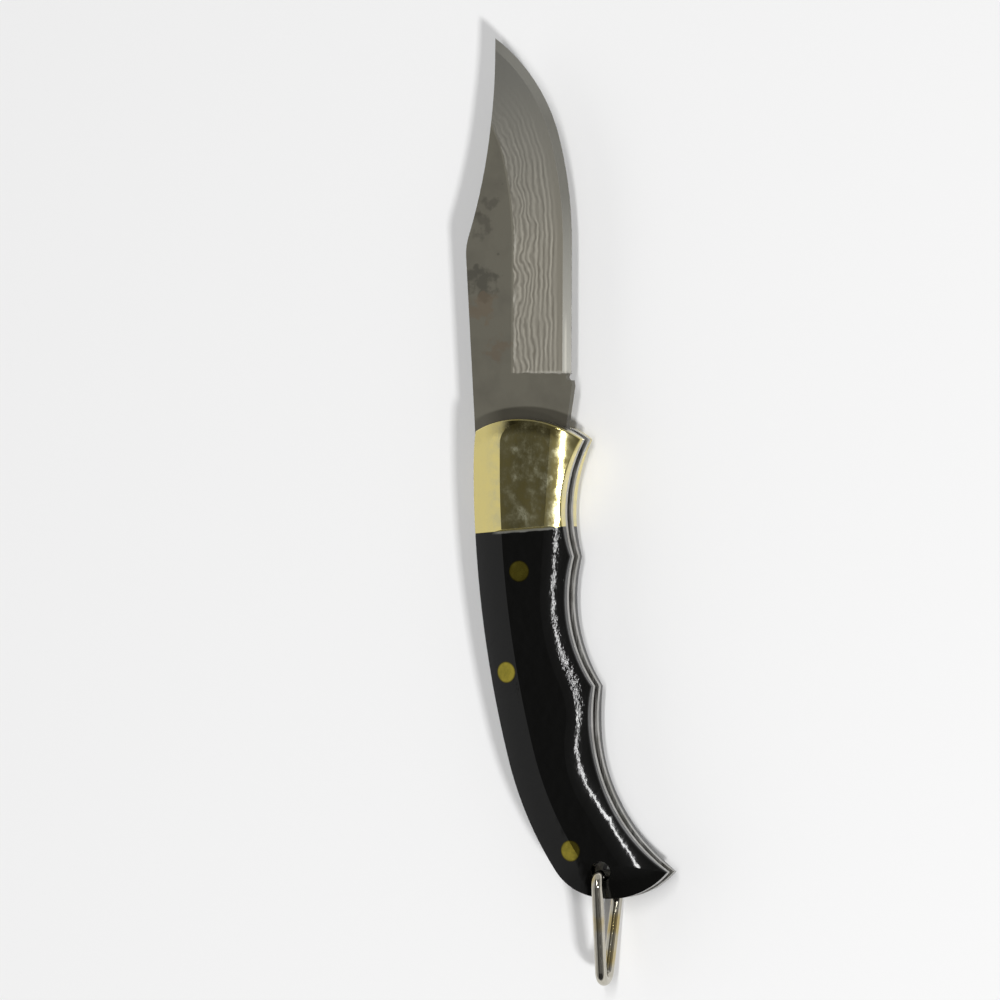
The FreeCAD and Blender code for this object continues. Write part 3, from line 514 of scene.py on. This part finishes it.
# painted shadow: dark in a band just outside the front arc, weaker towards the spine
reach = add(tree, "ShaderNodeVectorMath", {0: flat_place, 1: arc_flat}, operation="DISTANCE")
painted_shadow = add(tree, "ShaderNodeMapRange", {
    0: reach, 1: arc_radius + SHADOW_FULL, 2: arc_radius + SHADOW_END, 3: SHADOW_MOST, 4: 0.0})
spine_side = add(tree, "ShaderNodeMapRange", {
    0: y, 1: SPINE_SIDE_FROM, 2: SPINE_SIDE_TO, 3: 1.0, 4: SHADOW_AT_SPINE})
painted_shadow = add(tree, "ShaderNodeMath", {0: painted_shadow, 1: spine_side}, operation="MULTIPLY")
flat_colour = add(tree, "ShaderNodeMix", {0: painted_shadow, 6: flat_colour, 7: colour(SHADOW_COLOUR)},
                  data_type="RGBA")
print(f"front arc of {arc_radius / MM:.1f} mm radius")

# %% [markdown]
# Three finishes meet on the blade: the forged flats, the ground bevel and the whetted strip along
# the edge. Where a stone or a belt stops, a burr would catch the light: here that is a painted
# highlight, a pale line in the colour. Along the border it is patchy and ends before the tip, at the
# heel it follows the end of the grind, and on the whetted strip only the first few millimetres
# have one. All of these are distances from the edge or from the heel, so ramps over the UV map
# place them.

# %% Layered steel: where each finish lies
GRIND_WIDTH = 11.35
EDGE_WIDTH = 1.7
RAGGED, RAGGED_BY = 1.6, 0.35
BLEND = 0.1
ragged = add(tree, "ShaderNodeTexNoise", {"Vector": place, "Scale": per_metre(RAGGED), "Detail": 2.0})
ragged_by = add(tree, "ShaderNodeMapRange", {0: ragged, 3: -RAGGED_BY, 4: RAGGED_BY})
border = add(tree, "ShaderNodeMath", {0: away, 1: ragged_by}, operation="ADD")
below_border = add(tree, "ShaderNodeMapRange", {
    0: border, 1: GRIND_WIDTH - BLEND, 2: GRIND_WIDTH + BLEND, 3: 1.0, 4: 0.0})
from_heel = add(tree, "ShaderNodeMath", {0: x, 1: 1 / MM, 2: -heel_x / MM}, operation="MULTIPLY_ADD")
from_heel = add(tree, "ShaderNodeMath", {0: from_heel, 1: ragged_by}, operation="ADD")
past_heel = add(tree, "ShaderNodeMapRange", {0: from_heel, 1: -BLEND, 2: BLEND})
on_bevel = add(tree, "ShaderNodeMath", {0: below_border, 1: past_heel}, operation="MULTIPLY")
by_edge = add(tree, "ShaderNodeMapRange", {
    0: away, 1: EDGE_WIDTH - BLEND, 2: EDGE_WIDTH + BLEND, 3: 1.0, 4: 0.0})
on_edge = add(tree, "ShaderNodeMath", {0: by_edge, 1: past_heel}, operation="MULTIPLY")
off_edge = add(tree, "ShaderNodeMath", {0: 1.0, 1: on_edge}, operation="SUBTRACT")
print(f"bevel of {GRIND_WIDTH} mm, whetted strip of {EDGE_WIDTH} mm")

# %% Layered steel: painted highlights where burrs would catch the light
BORDER_HIGHLIGHT_IN, BORDER_HIGHLIGHT_HALF, BORDER_HIGHLIGHT_END, BORDER_HIGHLIGHT = 0.3, 0.1, 0.4, 0.6
HEEL_HIGHLIGHT_FULL, HEEL_HIGHLIGHT_END, HEEL_HIGHLIGHT = 0.2, 0.6, 0.7
EDGE_HIGHLIGHT_IN, EDGE_HIGHLIGHT_HALF, EDGE_HIGHLIGHT_END, EDGE_HIGHLIGHT = 0.6, 0.08, 0.3, 0.3
HIGHLIGHT_STOPS_X, HIGHLIGHT_END_X = 54 * MM, 62 * MM
HEEL_STRIP_END_X, HEEL_STRIP_X = 38 * MM, 34 * MM
PATCH, PATCH_FROM, PATCH_FULL = 6, 0.42, 0.6
# painted highlights: pale lines along the border, at the heel and on the whetted strip
from_border = add(tree, "ShaderNodeMath", {0: border, 1: GRIND_WIDTH - BORDER_HIGHLIGHT_IN},
                  operation="SUBTRACT")
from_border = add(tree, "ShaderNodeMath", {0: from_border}, operation="ABSOLUTE")
border_highlight = add(tree, "ShaderNodeMapRange", {
    0: from_border, 1: BORDER_HIGHLIGHT_HALF, 2: BORDER_HIGHLIGHT_END, 3: BORDER_HIGHLIGHT, 4: 0.0})
before_tip = add(tree, "ShaderNodeMapRange", {0: x, 1: HIGHLIGHT_STOPS_X, 2: HIGHLIGHT_END_X, 3: 1.0, 4: 0.0})
border_highlight = add(tree, "ShaderNodeMath", {0: border_highlight, 1: before_tip}, operation="MULTIPLY")
heel_highlight = add(tree, "ShaderNodeMapRange", {
    0: from_heel, 1: HEEL_HIGHLIGHT_FULL, 2: HEEL_HIGHLIGHT_END, 3: HEEL_HIGHLIGHT, 4: 0.0})
heel_highlight = add(tree, "ShaderNodeMath", {0: heel_highlight, 1: off_edge}, operation="MULTIPLY")
painted_highlight = add(tree, "ShaderNodeMath", {0: border_highlight, 1: heel_highlight}, operation="MAXIMUM")
painted_highlight = add(tree, "ShaderNodeMath", {0: painted_highlight, 1: on_bevel}, operation="MULTIPLY")
patchy = add(tree, "ShaderNodeTexNoise", {"Vector": place, "Scale": per_metre(PATCH), "Detail": 3.0})
patchy = add(tree, "ShaderNodeMapRange", {0: patchy, 1: PATCH_FROM, 2: PATCH_FULL})
painted_highlight = add(tree, "ShaderNodeMath", {0: painted_highlight, 1: patchy}, operation="MULTIPLY")

from_edge = add(tree, "ShaderNodeMath", {0: away, 1: EDGE_WIDTH - EDGE_HIGHLIGHT_IN}, operation="SUBTRACT")
from_edge = add(tree, "ShaderNodeMath", {0: from_edge}, operation="ABSOLUTE")
edge_highlight = add(tree, "ShaderNodeMapRange", {
    0: from_edge, 1: EDGE_HIGHLIGHT_HALF, 2: EDGE_HIGHLIGHT_END, 3: EDGE_HIGHLIGHT, 4: 0.0})
at_heel = add(tree, "ShaderNodeMapRange", {0: x, 1: HEEL_STRIP_END_X, 2: HEEL_STRIP_X})
edge_highlight = add(tree, "ShaderNodeMath", {0: edge_highlight, 1: at_heel}, operation="MULTIPLY")
edge_highlight = add(tree, "ShaderNodeMath", {0: edge_highlight, 1: past_heel}, operation="MULTIPLY")
painted_highlight = add(tree, "ShaderNodeMath", {0: painted_highlight, 1: edge_highlight}, operation="MAXIMUM")
# the burrs in this print are the painted highlights
print("burrs along the border, at the heel and on the whetted strip")

# %% [markdown]
# Put together, each finish covers the one before it: bevel over flat, whetted strip over bevel,
# painted highlights over all. The strip is brightest at the heel, where the stone starts, and
# darkens towards the belly of the blade. Etched layers and the pits of the scale stand out by
# hundredths of a millimetre, so they are a bump and not real relief.

# %% Layered steel: put together
WHETTED_DARK, WHETTED_PALE, WHETTED_TIP = "#575651", "#84837D", "#72716B"
PALE_FROM_X, PALE_FULL_X = 60 * MM, 28 * MM
STRIP_TIP_FROM_X, STRIP_TIP_FULL_X = 74 * MM, 87 * MM
HIGHLIGHT_COLOUR = "#B5B2A8"
FORGED_ROUGH, GROUND_ROUGH = 0.52, 0.45
PIT, ETCH_DEPTH = 0.7, 0.02 * MM
ground = add(tree, "ShaderNodeMix", {0: on_bevel, 6: flat_colour, 7: bevel_colour}, data_type="RGBA")
by_heel = add(tree, "ShaderNodeMapRange", {0: x, 1: PALE_FROM_X, 2: PALE_FULL_X})
edge_colour = add(tree, "ShaderNodeMix", {0: by_heel, 6: colour(WHETTED_DARK), 7: colour(WHETTED_PALE)},
                  data_type="RGBA")
at_tip = add(tree, "ShaderNodeMapRange", {0: x, 1: STRIP_TIP_FROM_X, 2: STRIP_TIP_FULL_X})
edge_colour = add(tree, "ShaderNodeMix", {0: at_tip, 6: edge_colour, 7: colour(WHETTED_TIP)},
                  data_type="RGBA")
ground = add(tree, "ShaderNodeMix", {0: on_edge, 6: ground, 7: edge_colour}, data_type="RGBA")
# the painted highlights lie over every finish, in a pale colour
ground = add(tree, "ShaderNodeMix", {0: painted_highlight, 6: ground, 7: colour(HIGHLIGHT_COLOUR)}, data_type="RGBA")
bevel_rough = add(tree, "ShaderNodeMapRange", {0: on_bevel, 3: FORGED_ROUGH, 4: GROUND_ROUGH})
rough = add(tree, "ShaderNodeMapRange", {0: on_edge, 3: bevel_rough, 4: GROUND_ROUGH})
pits = add(tree, "ShaderNodeTexNoise", {"Vector": place, "Scale": per_metre(PIT), "Detail": 3.0})
etch = add(tree, "ShaderNodeMath", {0: shown, 1: on_bevel, 2: pits}, operation="MULTIPLY_ADD")
relief = add(tree, "ShaderNodeBump", {"Strength": 0.4, "Distance": ETCH_DEPTH, "Height": etch})
surface = add(tree, "ShaderNodeBsdfPrincipled", {
    "Base Color": ground,
    "Metallic": 1.0,
    "Roughness": rough,
    "Normal": relief,
})
add(tree, "ShaderNodeOutputMaterial", {"Surface": surface})
blade_mesh.materials.append(steel)
print("layered steel on the blade")

# %% [markdown]
# ## Brass
# Bolsters, pins and rivets are yellow brass, cast or drawn, then filed flush. Buffing leaves the
# bolsters a bright face with fine lengthwise hairlines, and handling dulls it in smudges, most of
# all on the belly side, where fingers lie. A rougher smudge gathers light from a wider part of the
# room, so the smudges are a greyer, rougher surface, and not only another colour. One function
# makes every brass of this knife, and smudges, relief and marks have functions of their own.


# %% Brass: smudges from handling
SMUDGE_STRETCH = (0.85, 1, 1)
SMUDGE_FROM, SMUDGE_FULL = 0.39, 0.68
BAND_BLEND = 3
LEAST_HANDLED = 0.1


def smudged(tree, place, y, smudge, handled):
    """Smudges of a size in millimetres, how far fingers reach in y, and how dull that leaves it."""
    rubbed = add(tree, "ShaderNodeMapping", {"Vector": place, "Scale": SMUDGE_STRETCH})
    smudges = add(tree, "ShaderNodeTexNoise", {
        "Vector": rubbed, "Scale": per_metre(smudge), "Detail": 6.0, "Roughness": 0.62})
    worn = add(tree, "ShaderNodeMapRange", {0: smudges, 1: SMUDGE_FROM, 2: SMUDGE_FULL})
    band_middle, band_half = handled
    touched = add(tree, "ShaderNodeMath", {0: y, 1: band_middle * MM}, operation="SUBTRACT")
    touched = add(tree, "ShaderNodeMath", {0: touched}, operation="ABSOLUTE")
    band_full, band_end = (band_half - BAND_BLEND) * MM, (band_half + BAND_BLEND) * MM
    touched = add(tree, "ShaderNodeMapRange", {
        0: touched, 1: band_full, 2: band_end, 3: 1.0, 4: LEAST_HANDLED})
    worn = add(tree, "ShaderNodeMath", {0: worn, 1: touched}, operation="MULTIPLY")
    return smudges, touched, worn


print(f"smudges fade within {2 * BAND_BLEND} mm past the fingers")

# %% Brass: hairlines and dents
HAIRLINE, HAIRLINE_DEPTH_SHARE = 0.3, 0.015
HAIRLINE_TURN = 0.12
HAIRLINE_STRETCH = (0.05, 1, 1)
DENT, DENT_DEPTH = 6, 0.1 * MM


def buffed_relief(tree, place):
    """Fine lengthwise hairlines over shallow dents, as a bump."""
    stretched = add(tree, "ShaderNodeMapping", {
        "Vector": place, "Rotation": (0, 0, HAIRLINE_TURN), "Scale": HAIRLINE_STRETCH})
    # real hairlines are far finer: these are as coarse as they need to be to show
    hairlines = add(tree, "ShaderNodeTexNoise", {
        "Vector": stretched, "Scale": per_metre(HAIRLINE), "Detail": 3.0})
    dents = add(tree, "ShaderNodeTexNoise", {"Vector": place, "Scale": per_metre(DENT), "Detail": 0.0})
    height = add(tree, "ShaderNodeMath", {0: hairlines, 1: HAIRLINE_DEPTH_SHARE, 2: dents},
                 operation="MULTIPLY_ADD")
    return add(tree, "ShaderNodeBump", {"Strength": 1.0, "Distance": DENT_DEPTH, "Height": height})


print(f"hairlines of {HAIRLINE} mm over dents of {DENT} mm")

# %% [markdown]
# Dirt stays in the seam round each pin's head, a mark of how the knife was put together. Along the
# bolster's front beside the blade, a brown band is a painted dark reflection of the rounded front.

# %% Brass: seams round the heads, and a painted dark reflection along the front
SEAM = 0.3 * MM
HEAD_REACH_SHARE = 1.1
SEAM_DIRT, SEAM_MOST = "#3A3416", 0.85
DARK_FRONT_START, DARK_FRONT_FULL = 1.6 * MM, 0.4 * MM
DARK_FRONT_RAGGED = 3 * MM
DARK_REFLECTION_BROWN, DARK_FRONT_MOST = "#6A6033", 0.7


def dirty_seams(tree, tone, flat_place, heads):
    """A tone with a dark seam round each pin's head."""
    for low, high in heads:
        centre = (low + high) / 2
        radius = (high.x - low.x) / 2
        reach = add(tree, "ShaderNodeVectorMath", {0: flat_place, 1: (centre.x, centre.y, 0)},
                    operation="DISTANCE")
        seam = add(tree, "ShaderNodeMapRange", {
            0: reach, 1: radius - SEAM, 2: radius, 3: 0.0, 4: SEAM_MOST})
        on_head = add(tree, "ShaderNodeMath", {0: reach, 1: radius * HEAD_REACH_SHARE},
                      operation="LESS_THAN")
        seam = add(tree, "ShaderNodeMath", {0: seam, 1: on_head}, operation="MULTIPLY")
        tone = add(tree, "ShaderNodeMix", {0: seam, 6: tone, 7: colour(SEAM_DIRT)}, data_type="RGBA")
    return tone


def dark_reflection_front(tree, tone, flat_place, smudges, touched, front_arc):
    """A tone with a painted dark reflection, in brown, along the front arc, given as its centre and
    radius.
    """
    centre, radius = front_arc
    reach = add(tree, "ShaderNodeVectorMath", {0: flat_place, 1: centre}, operation="DISTANCE")
    reach = add(tree, "ShaderNodeMath", {0: smudges, 1: DARK_FRONT_RAGGED, 2: reach},
                operation="MULTIPLY_ADD")
    # painted dark reflection: brown in a ragged band just inside the front arc
    dark_front = add(tree, "ShaderNodeMapRange", {
        0: reach, 1: radius - DARK_FRONT_START, 2: radius - DARK_FRONT_FULL, 4: DARK_FRONT_MOST})
    dark_front = add(tree, "ShaderNodeMath", {0: dark_front, 1: touched}, operation="MULTIPLY")
    return add(tree, "ShaderNodeMix", {0: dark_front, 6: tone, 7: colour(DARK_REFLECTION_BROWN)}, data_type="RGBA")


print(f"seams of {SEAM / MM:.1f} mm, dirt in {SEAM_DIRT}")


# %% Brass: its three kinds
def brass(name, bright, dull, smooth, rough, smudge, handled, heads=(), front_arc=None):
    """Brass between a bright and a dull tone and roughness, with its smudges, seams and painted dark
    front.
    """
    material, tree = new_material(name)
    place, _, y, _ = object_place(tree)
    smudges, touched, worn = smudged(tree, place, y, smudge, handled)
    tone = add(tree, "ShaderNodeMix", {0: worn, 6: colour(bright), 7: colour(dull)}, data_type="RGBA")
    flat_place = add(tree, "ShaderNodeMapping", {"Vector": place, "Scale": (1, 1, 0)})
    tone = dirty_seams(tree, tone, flat_place, heads)
    if front_arc:
        tone = dark_reflection_front(tree, tone, flat_place, smudges, touched, front_arc)
    surface = add(tree, "ShaderNodeBsdfPrincipled", {
        "Base Color": tone,
        "Metallic": 1.0,
        "Roughness": add(tree, "ShaderNodeMapRange", {0: worn, 3: smooth, 4: rough}),
        "Normal": buffed_relief(tree, place),
    })
    add(tree, "ShaderNodeOutputMaterial", {"Surface": surface})
    return material


EVERYWHERE = (0, 100)
pin_heads = [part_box(name) for name in ("upper_scale_pin", "spring_pin", "end_pin")]

# buffed brass is a soft golden mirror, greyer where it was touched
bolster_brass = brass("buffed_brass", bright="#E9D98F", dull="#C4C2A4", smooth=0.06, rough=0.3,
                      smudge=2.2, handled=(5.5, 7), front_arc=(arc_flat, arc_radius))
# filed brass is darker and duller, with a dark ring round each head
pin_brass = brass("filed_brass", bright="#A2943C", dull="#8A8034", smooth=0.14, rough=0.24,
                  smudge=1.5, handled=EVERYWHERE, heads=pin_heads)
# rolled brass has an even, silky yellow sheen
sheet_brass = brass("rolled_brass", bright="#B5A65A", dull="#9A8D4C", smooth=0.2, rough=0.3,
                    smudge=1.5, handled=EVERYWHERE)
print(f"brass for bolsters, washers and pins, with {len(pin_heads)} heads in the scale")

# %% [markdown]
# ## Black scales
# The scales are dense black plastic, sanded round and buffed to a gloss by hand. The buffing
# wheel leaves the surface very slightly uneven, which breaks the lamp's reflection along the
# belly into a ragged, sparkling line. Flat faces come out smoother than the crown, the butt is
# smoother than the rest, and the crest between the two grooves is the roughest. The unevenness is
# some hundredths of a millimetre, so it is a bump, with its strength set by place.

# %% Buffed black plastic: its relief
SWELL, RIPPLE, UNEVENNESS = 2.2, 0.55, 0.05 * MM
BUTT_X, FULL_X = -58 * MM, -38 * MM
RIPPLED_AT_BUTT, RIPPLED_IN_FULL, RIPPLED_MORE = 0.12, 0.6, 0.5
CREST_X, CREST_HALF, CREST_END = -32 * MM, 2 * MM, 6 * MM
FLAT_DROP, CROWN_DROP, FLAT_SHARE = 0.05 * MM, 0.2 * MM, 0.2
WIPE, GLOSSY, WIPED = 9, 0.05, 0.1

# buffed plastic is deep black under a clear, slightly uneven gloss
scale_black, tree = new_material("buffed_black_plastic")
place, x, y, z = object_place(tree)
swells = add(tree, "ShaderNodeTexNoise", {"Vector": place, "Scale": per_metre(SWELL), "Detail": 1.0})
ripples = add(tree, "ShaderNodeTexNoise", {"Vector": place, "Scale": per_metre(RIPPLE), "Detail": 2.0})
rippled = add(tree, "ShaderNodeMapRange", {
    0: x, 1: BUTT_X, 2: FULL_X, 3: RIPPLED_AT_BUTT, 4: RIPPLED_IN_FULL})
from_crest = add(tree, "ShaderNodeMath", {0: x, 1: CREST_X}, operation="SUBTRACT")
from_crest = add(tree, "ShaderNodeMath", {0: from_crest}, operation="ABSOLUTE")
by_crest = add(tree, "ShaderNodeMapRange", {
    0: from_crest, 1: CREST_HALF, 2: CREST_END, 3: RIPPLED_MORE, 4: 0.0})
rippled = add(tree, "ShaderNodeMath", {0: rippled, 1: by_crest}, operation="ADD")
flat_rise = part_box("upper_scale")[1].z - mid_z
rise = add(tree, "ShaderNodeMath", {0: z, 1: mid_z}, operation="SUBTRACT")
rise = add(tree, "ShaderNodeMath", {0: rise}, operation="ABSOLUTE")
on_crown = add(tree, "ShaderNodeMapRange", {
    0: rise, 1: flat_rise - FLAT_DROP, 2: flat_rise - CROWN_DROP, 3: FLAT_SHARE, 4: 1.0})
rippled = add(tree, "ShaderNodeMath", {0: rippled, 1: on_crown}, operation="MULTIPLY")
height = add(tree, "ShaderNodeMath", {0: ripples, 1: rippled, 2: swells}, operation="MULTIPLY_ADD")
relief = add(tree, "ShaderNodeBump", {"Strength": 1.0, "Distance": UNEVENNESS, "Height": height})
wiped = add(tree, "ShaderNodeTexNoise", {"Vector": place, "Scale": per_metre(WIPE), "Detail": 3.0})
gloss = add(tree, "ShaderNodeMapRange", {
    0: wiped, 1: NOISE_LOW, 2: NOISE_HIGH, 3: GLOSSY, 4: WIPED})
print(f"swells of {SWELL} mm and ripples of {RIPPLE} mm on the scales")

# %% [markdown]
# A little grey polishing paste stays behind in the fine groove along the bolster, on the flat part
# where the wheel pressed it in. Its grey is partly real paste and partly a painted sheen that
# lightens the joint. The joint slants by a few degrees, so the distance behind it is measured
# along a slanted axis, and the foremost point of the scale gives the joint's place.

# %% Buffed black plastic: paste and painted sheen in the groove
SLANT = math.tan(math.radians(4.5))
PASTE_FULL, PASTE_END = 0.3 * MM, 0.55 * MM
PASTE_GRAIN, PASTE_UNEVEN = 1.5, 0.08 * MM
FLAT_STOPS_Y, FLAT_END_Y = 12.5 * MM, 14 * MM
WALL_Y, OFF_WALL_Y = 1 * MM, 2 * MM
PLASTIC_BLACK, PASTE_AND_SHEEN_GREY = "#0B0B0A", "#6A6A65"
PASTE_ROUGH, PLASTIC_IOR = 0.6, 1.36
joint = max(vert.co.x + SLANT * vert.co.y for vert in nodes["upper_scale"].data.vertices)
across = add(tree, "ShaderNodeMath", {0: y, 1: SLANT, 2: x}, operation="MULTIPLY_ADD")
behind = add(tree, "ShaderNodeMath", {0: joint, 1: across}, operation="SUBTRACT")
uneven = add(tree, "ShaderNodeTexNoise", {
    "Vector": place, "Scale": per_metre(PASTE_GRAIN), "Detail": 3.0})
uneven = add(tree, "ShaderNodeMapRange", {
    0: uneven, 1: NOISE_LOW, 2: NOISE_HIGH, 3: -PASTE_UNEVEN, 4: PASTE_UNEVEN})
behind = add(tree, "ShaderNodeMath", {0: behind, 1: uneven}, operation="ADD")
in_groove = add(tree, "ShaderNodeMapRange", {0: behind, 1: PASTE_FULL, 2: PASTE_END, 3: 1.0, 4: 0.0})
on_flat = add(tree, "ShaderNodeMapRange", {0: y, 1: FLAT_STOPS_Y, 2: FLAT_END_Y, 3: 1.0, 4: 0.0})
off_wall = add(tree, "ShaderNodeMapRange", {0: y, 1: WALL_Y, 2: OFF_WALL_Y})
paste_and_sheen = add(tree, "ShaderNodeMath", {0: in_groove, 1: on_flat}, operation="MULTIPLY")
paste_and_sheen = add(tree, "ShaderNodeMath", {0: paste_and_sheen, 1: off_wall}, operation="MULTIPLY")
# grey paste, partly a painted sheen that lightens the joint
tone = add(tree, "ShaderNodeMix", {0: paste_and_sheen, 6: colour(PLASTIC_BLACK), 7: colour(PASTE_AND_SHEEN_GREY)},
           data_type="RGBA")
# plastics have an IOR near 1.5: this one is matched to the darker gloss of these scales
surface = add(tree, "ShaderNodeBsdfPrincipled", {
    "Base Color": tone,
    "Roughness": add(tree, "ShaderNodeMapRange", {0: paste_and_sheen, 3: gloss, 4: PASTE_ROUGH}),
    "IOR": PLASTIC_IOR,
    "Normal": relief,
})
add(tree, "ShaderNodeOutputMaterial", {"Surface": surface})
print(f"black plastic for the scales, joint at x {joint / MM:.2f} mm")

# %% [markdown]
# ## Liners, spring and bail
# Liners and back spring are cold-rolled steel, ground along their length, so their sheen is
# streaked that way. The bail is spring wire with a thin nickel plating, which is a little warmer
# than chrome and has fine pulling marks along the wire. Its yellow patches are partly wear and
# partly a painted golden reflection. Both are a streaked metal with patches, so one function
# makes them.


# %% Ground steel and plated wire
STREAK_STRETCH, STREAK_DEPTH = (0.04, 1, 1), 0.01 * MM
WEAR_AND_REFLECTION_PATCH, WEAR_AND_REFLECTION_FROM, WEAR_AND_REFLECTION_FULL = 6, 0.48, 0.62


def streaked_metal(name, light, dark, worn, smooth, rough, streak):
    """Metal with lengthwise streaks of a width in millimetres, and patches of a worn tone, which on the
    wire is partly a painted golden reflection.
    """
    material, tree = new_material(name)
    place, *_ = object_place(tree)
    stretched = add(tree, "ShaderNodeMapping", {"Vector": place, "Scale": STREAK_STRETCH})
    # real grinding marks are far finer: these are as coarse as they need to be to show
    streaks = add(tree, "ShaderNodeTexNoise", {
        "Vector": stretched, "Scale": per_metre(streak), "Detail": 4.0})
    relief = add(tree, "ShaderNodeBump", {"Strength": 0.2, "Distance": STREAK_DEPTH, "Height": streaks})
    tone = add(tree, "ShaderNodeMix", {0: streaks, 6: colour(dark), 7: colour(light)}, data_type="RGBA")
    # patches of the worn tone: wear, and on the wire partly a painted golden reflection
    wear_and_reflection = add(tree, "ShaderNodeTexNoise", {
        "Vector": place, "Scale": per_metre(WEAR_AND_REFLECTION_PATCH), "Detail": 2.0})
    wear_and_reflection = add(tree, "ShaderNodeMapRange", {0: wear_and_reflection, 1: WEAR_AND_REFLECTION_FROM, 2: WEAR_AND_REFLECTION_FULL})
    tone = add(tree, "ShaderNodeMix", {0: wear_and_reflection, 6: tone, 7: colour(worn)}, data_type="RGBA")
    sheen = add(tree, "ShaderNodeMapRange", {
        0: streaks, 1: NOISE_LOW, 2: NOISE_HIGH, 3: smooth, 4: rough})
    surface = add(tree, "ShaderNodeBsdfPrincipled", {
        "Base Color": tone,
        "Metallic": 1.0,
        "Roughness": sheen,
        "Normal": relief,
    })
    add(tree, "ShaderNodeOutputMaterial", {"Surface": surface})
    return material


# ground steel has a broad grey sheen with streaks along it
ground_steel = streaked_metal("ground_steel", light="#C9C8C4", dark="#8F8E8A", worn="#97958F",
                              smooth=0.25, rough=0.42, streak=0.3)
# nickel plating is a clear, bright mirror, with yellow patches that are partly wear and partly a painted
# golden reflection
plated_wire = streaked_metal("nickel_plated_wire", light="#D2CEC2", dark="#A6A193", worn="#BBAA78",
                             smooth=0.05, rough=0.1, streak=0.25)
print("steel for liners and spring, nickel for the bail")

# %% [markdown]
# ## Give each piece its finish
# The record names a material slot for every piece, so one table from slot to material dresses
# all the pieces that keep the construction's own shape.

# %% Dress the pieces
finishes = {
    "blade_steel": steel,
    "spring_steel": ground_steel,
    "liner_steel": ground_steel,
    "bolster_brass": bolster_brass,
    "pin_brass": pin_brass,
    "washer_brass": sheet_brass,
    "scale_black": scale_black,
    "bail_nickel": plated_wire,
}
for subpart in frame["record"]["subparts"]:
    piece = nodes[subpart["node"]]
    piece.data.materials.clear()
    piece.data.materials.append(finishes[subpart["material_slot"]])

# %% [markdown]
# ## View settings
# The standard view shows colours as they are written.

# %% View settings
bpy.context.scene.view_settings.view_transform = "Standard"
